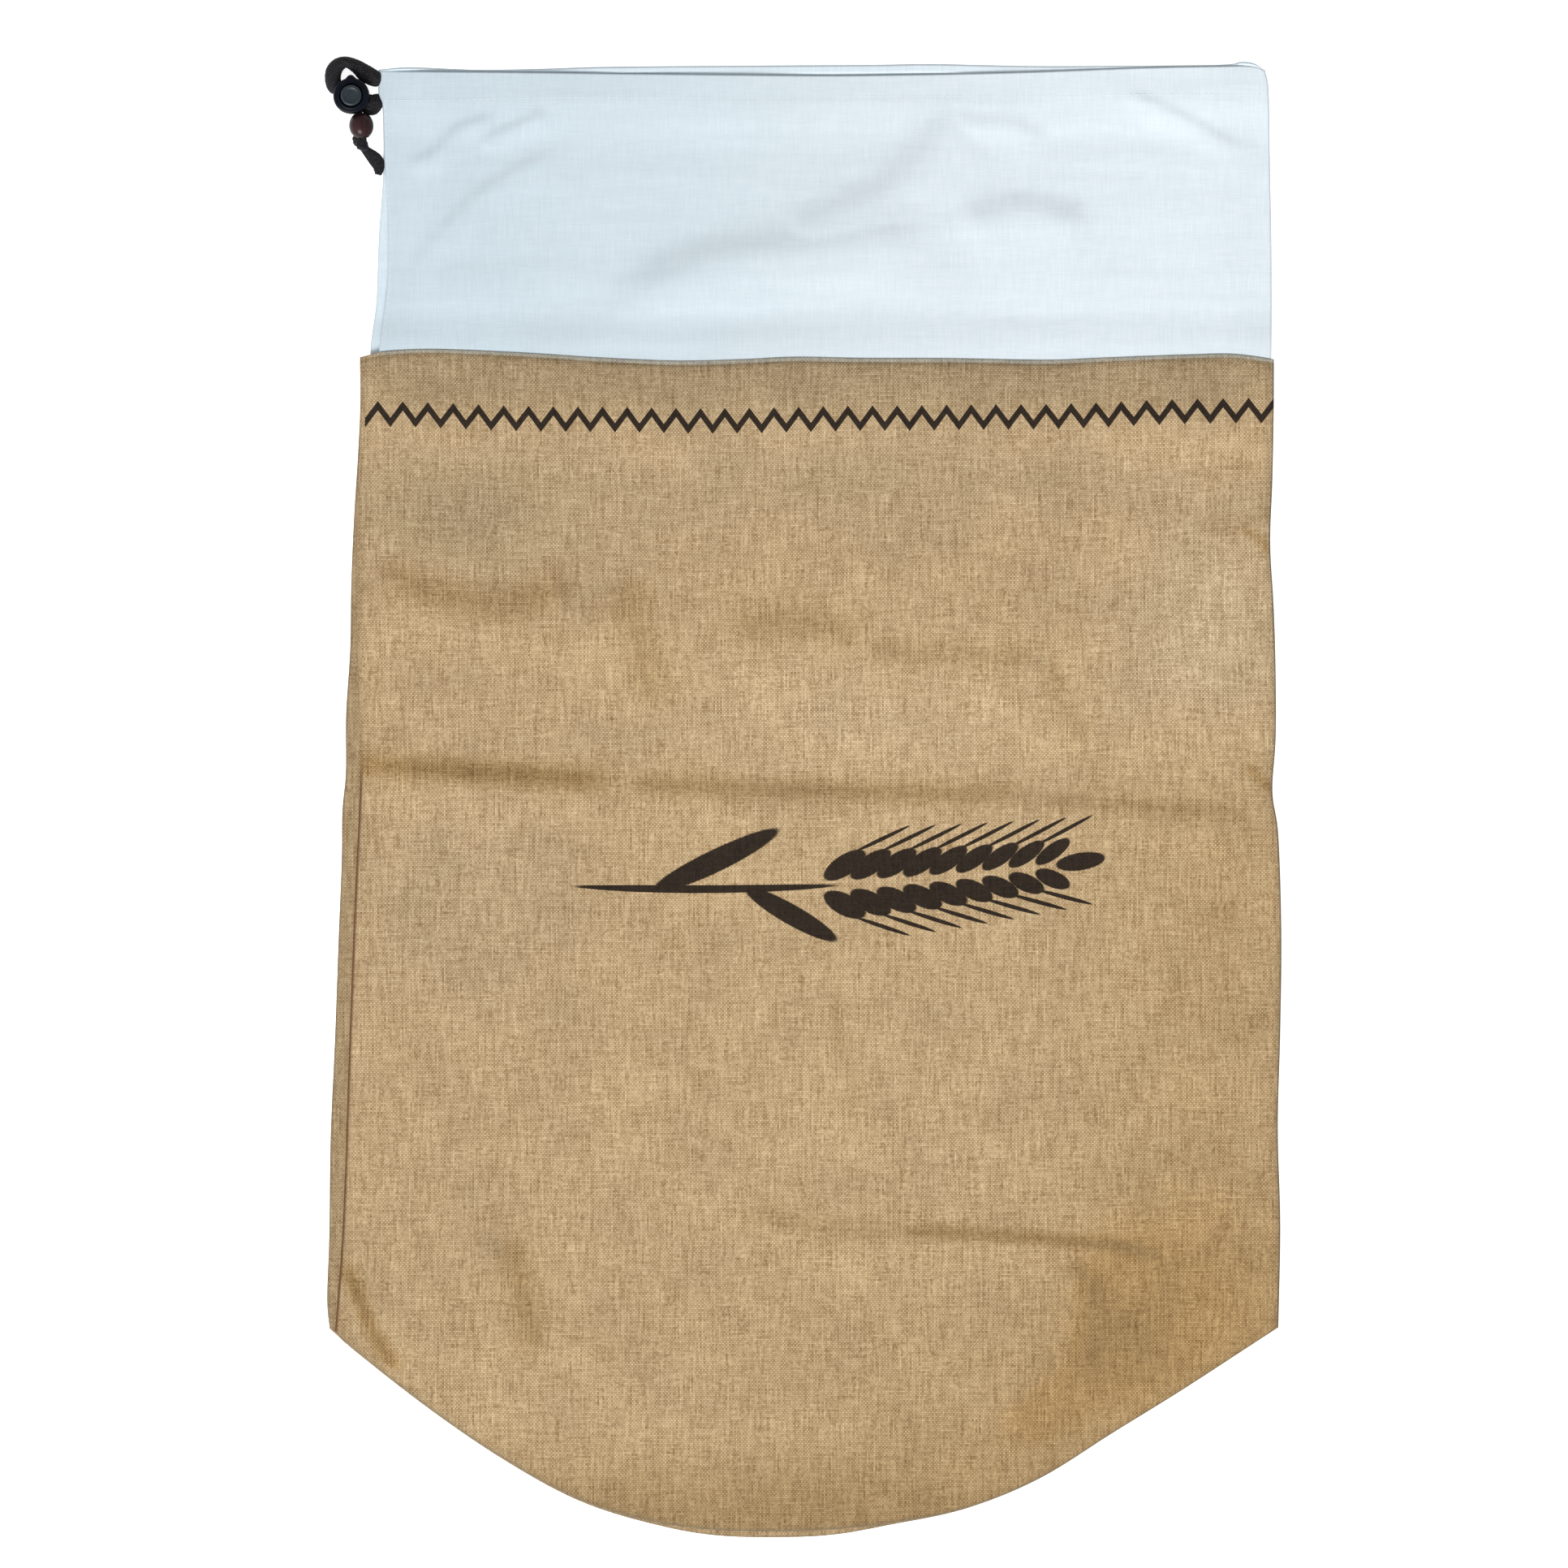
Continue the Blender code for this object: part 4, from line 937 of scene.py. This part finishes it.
# Uneven tone, partly the cloth's own colour and partly painted light and shade: x, y, reach across,
# reach along, lightness, warmth.
FRONT_TONES = [
    (0.0, 157.0, 600.0, 13.0, -0.18, -0.1), (0.0, 125.0, 170.0, 30.0, -0.08, -0.1),
    (-145.0, 112.0, 38.0, 26.0, -0.10, -0.05), (-115.0, 92.0, 45.0, 26.0, -0.07, -0.1),
    (150.0, 60.0, 32.0, 44.0, 0.10, -0.35), (20.0, 30.0, 80.0, 26.0, 0.08, -0.15),
    (-125.0, -30.0, 42.0, 55.0, -0.06, -0.1), (-10.0, -112.0, 100.0, 40.0, 0.03, 0.0),
    (-140.0, -165.0, 38.0, 40.0, -0.04, 0.0), (0.0, -196.0, 90.0, 28.0, -0.03, 0.05),
    (150.0, -60.0, 40.0, 90.0, -0.05, 0.25), (145.0, -190.0, 48.0, 52.0, -0.19, 0.6),
    (120.0, -180.0, 17.0, 22.0, -0.10, 0.3), (116.0, -207.0, 20.0, 17.0, -0.11, 0.3),
    (92.0, -226.0, 17.0, 15.0, -0.08, 0.3),
    (0.0, -264.0, 160.0, 20.0, -0.26, 0.4), (60.0, -232.0, 60.0, 26.0, -0.06, 0.2),
]
ZIGZAG_PITCH, ZIGZAG_HEIGHT, ZIGZAG_HALF = 9.15, 6.1, 1.75
ZIGZAG_START, FIRST_PEAK = -162.9, -158.1   # the print's left end, and its first peak
MIDDLE_LEVEL = 141.4       # the band's mean height, from which the cloth's own map is measured
# The band's teeth counted from its first peak, by x, and its middle line by x and y. The screen was
# laid by hand, so neither is even.
ZIGZAG_COUNT = [
    (-176.4, -2.0), (-158.1, 0.0), (-139.6, 2.0), (-111.6, 5.0), (-93.3, 7.0), (-66.0, 10.0), (-20.9, 15.0),
    (24.6, 20.0), (70.2, 25.0), (116.4, 30.0), (144.6, 33.0), (163.5, 35.0), (182.4, 37.0),
]
ZIGZAG_MIDDLE = [
    (-175.0, 142.7), (-148.0, 142.4), (-130.0, 141.7), (-112.0, 140.9), (-93.0, 140.6),
    (-66.0, 140.4), (-43.0, 139.9), (-21.0, 140.0), (0.0, 140.5), (20.0, 140.9), (42.0, 141.0),
    (60.0, 141.3), (88.0, 141.5), (107.0, 142.0), (125.0, 142.9), (139.0, 143.4), (158.0, 143.7),
    (176.0, 143.8),
]
# A lying wheat ear: along, across, turn in degrees, half length, half width of each oval. Grains
# and beards are mirrored to the other side of the stalk, and leaves are not.
MOTIF_AT, MOTIF_BOW = (8.6, -33.0), 0.5
GRAINS = [(6.0 + 9.6 * k, 7.3 - 0.28 * k, 30.0, 8.8 - 0.2 * k, 3.9 - 0.12 * k) for k in range(9)]
BEARDS = [(20.0 + 9.6 * k, 16.2 - 0.55 * k, 22.0, 11.0, 0.75) for k in range(8)]
LEAVES = [
    (-46.0, 0.0, 0.0, 49.0, 1.5), (93.0, 0.0, 0.0, 9.0, 3.3), (-42.0, 10.5, 25.0, 26.0, 4.2),
    (-14.0, -10.0, -31.0, 20.0, 3.7),
]


def print_mask(tree, flat, height):
    """Where the dark print lies: 1 on ink and 0 on bare cloth."""
    split = add_node(tree, "SeparateXYZ", {0: flat}, give="all")
    # The zigzag is a triangle wave about the map's zero line, and its strokes have one height.
    wave = add_node(tree, "Math", {0: split[0], 1: ZIGZAG_PITCH * MM / 2}, operation="PINGPONG")
    wave = add_node(tree, "Math", {0: wave, 1: -2 * ZIGZAG_HEIGHT / ZIGZAG_PITCH,
        2: ZIGZAG_HEIGHT * MM / 2}, operation="MULTIPLY_ADD")
    away = add_node(tree, "Math", {0: split[1], 1: wave}, operation="SUBTRACT")
    away = add_node(tree, "Math", {0: away}, operation="ABSOLUTE")
    band = add_node(tree, "Math", {0: away, 1: 1 / (ZIGZAG_HALF * MM)}, operation="MULTIPLY")
    begun = add_node(tree, "Math", {0: split[0], 1: (ZIGZAG_START - FIRST_PEAK) * MM},
        operation="LESS_THAN")
    band = add_node(tree, "Math", {0: begun, 1: 9.0, 2: band}, operation="MULTIPLY_ADD")
    # The wheat ear's ovals: each is 1 on its own edge, and the nearest one counts.
    place = add_node(tree, "VectorMath", {0: flat, 1: ((FIRST_PEAK - MOTIF_AT[0]) * MM,
        (MIDDLE_LEVEL - MOTIF_AT[1]) * MM, 0.0)}, operation="ADD")
    place = add_node(tree, "SeparateXYZ", {0: place}, give="all")
    bow = add_node(tree, "Math", {0: place[0], 1: 0.05}, operation="ADD")
    bow = add_node(tree, "Math", {0: bow, 1: bow}, operation="MULTIPLY")
    raised = add_node(tree, "Math", {0: bow, 1: -MOTIF_BOW, 2: place[1]}, operation="MULTIPLY_ADD")
    mirrored = add_node(tree, "Math", {0: raised}, operation="ABSOLUTE")
    nearest = band
    for side_of, ovals in ((mirrored, GRAINS + BEARDS), (raised, LEAVES)):
        bent = add_node(tree, "CombineXYZ", {0: place[0], 1: side_of})
        for along, side, turn, long, wide in ovals:
            oval = add_node(tree, "Mapping", {"Vector": bent, "Location": (along * MM, side * MM, 0.0),
                "Rotation": (0.0, 0.0, math.radians(turn)), "Scale": (long * MM, wide * MM, 1.0)},
                vector_type="TEXTURE")
            reach = add_node(tree, "VectorMath", {0: oval}, operation="LENGTH")
            nearest = add_node(tree, "Math", {0: nearest, 1: reach}, operation="MINIMUM")
    # Ink bleeds a little along raised threads and misses the gaps.
    ragged = add_node(tree, "Math", {0: height, 1: -0.06, 2: nearest}, operation="MULTIPLY_ADD")
    mask = add_node(tree, "MapRange", {"Value": ragged, "From Min": 0.93, "From Max": 1.0, "To Min": 0.97,
        "To Max": 0.0})
    return mask


grid = laid_grid(FRONT_LOWER, FRONT_UPPER, FRONT_LEFT, BAG_RIGHT, 1.75)
u, v, x, y = grid
rise, dark = folded(x, y, FRONT_FOLDS)
from_mouth = height_at(x, line_at(FRONT_UPPER, np.linspace(0, 1, 200))) - y
over_collar = fade(y, MOUTH_Y - TUCK - 2 - MOUTH_RUN, MOUTH_Y - TUCK - 2)
under = (CLOTH + GAP + 2 * (CLOTH + GAP) * over_collar
         + inner(u, v) * np.maximum(LOFT + rise + ripples(x, y, 11, 75, 0.28), 0.0)
         - 0.27 * (1 - fade(from_mouth, 0.0, 3.0)))
thin_edge = CLOTH - 0.76 * (1 - fade(from_mouth, 0.0, 6.0)) - 0.2 * np.exp(-((from_mouth - 1.7) / 0.5) ** 2)
lifted = height_at(x, ZIGZAG_MIDDLE) - MIDDLE_LEVEL
teeth = height_at(x, ZIGZAG_COUNT) * ZIGZAG_PITCH
cloth_uv = np.stack([teeth, y - MIDDLE_LEVEL - lifted * fade(y, 20.0, 130.0)], -1)
front = add_cloth("bag_front", grid, under, thin_edge, linen_material("printed_flax_linen", True),
                  cloth_uv)
tone, warm = np.ones_like(x), np.zeros_like(x)
for at_x, at_y, across_reach, along_reach, light, heat in FRONT_TONES:
    spot = np.exp(-((x - at_x) / across_reach) ** 2 - ((y - at_y) / along_reach) ** 2)
    tone += light * spot
    warm += heat * spot
to_rim = from_sides(u, v, FRONT_SIZE, "left right foot")
# Painted shadow: a thin dark line just below the folded lip of the mouth edge.
lip_dark = 1 - 0.38 * np.exp(-((from_mouth - 1.75) / 0.35) ** 2)
to_left, to_right = from_sides(u, v, FRONT_SIZE, "left"), from_sides(u, v, FRONT_SIZE, "right")
to_corner = from_sides(u, v, FRONT_SIZE, "right foot")
# Painted shade in what is stored here: the folds' shade, warmed in the creases, darkening along the sides
# and foot and more along the right side, and a dark edge line along the right side and foot. The patch
# tones are partly painted light. The seam shade and the turned edge are painted too.
set_on_cloth(front, shade=dark * tone * lip_dark * (1 - 0.10 * (1 - fade(to_rim, 0.2, 4.0)))
             * (1 - 0.09 * (1 - fade(to_right, 1.5, 4.5))),
             warm=np.clip(0.35 + warm + 3.2 * (1 - dark), 0, 1),
             seam=0.9 * (1 - fade(to_left, 0.45, 1.4)) * (0.2 + 0.8 * (1 - fade(y, 4, 15))),
             edge=0.75 * (1 - fade(to_corner, 0.2, 0.9)),
             turned_edge=0.85 * (1 - fade(from_mouth, 1.0, 1.7)) * fade(x, -162, -154))
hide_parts("front_panel")
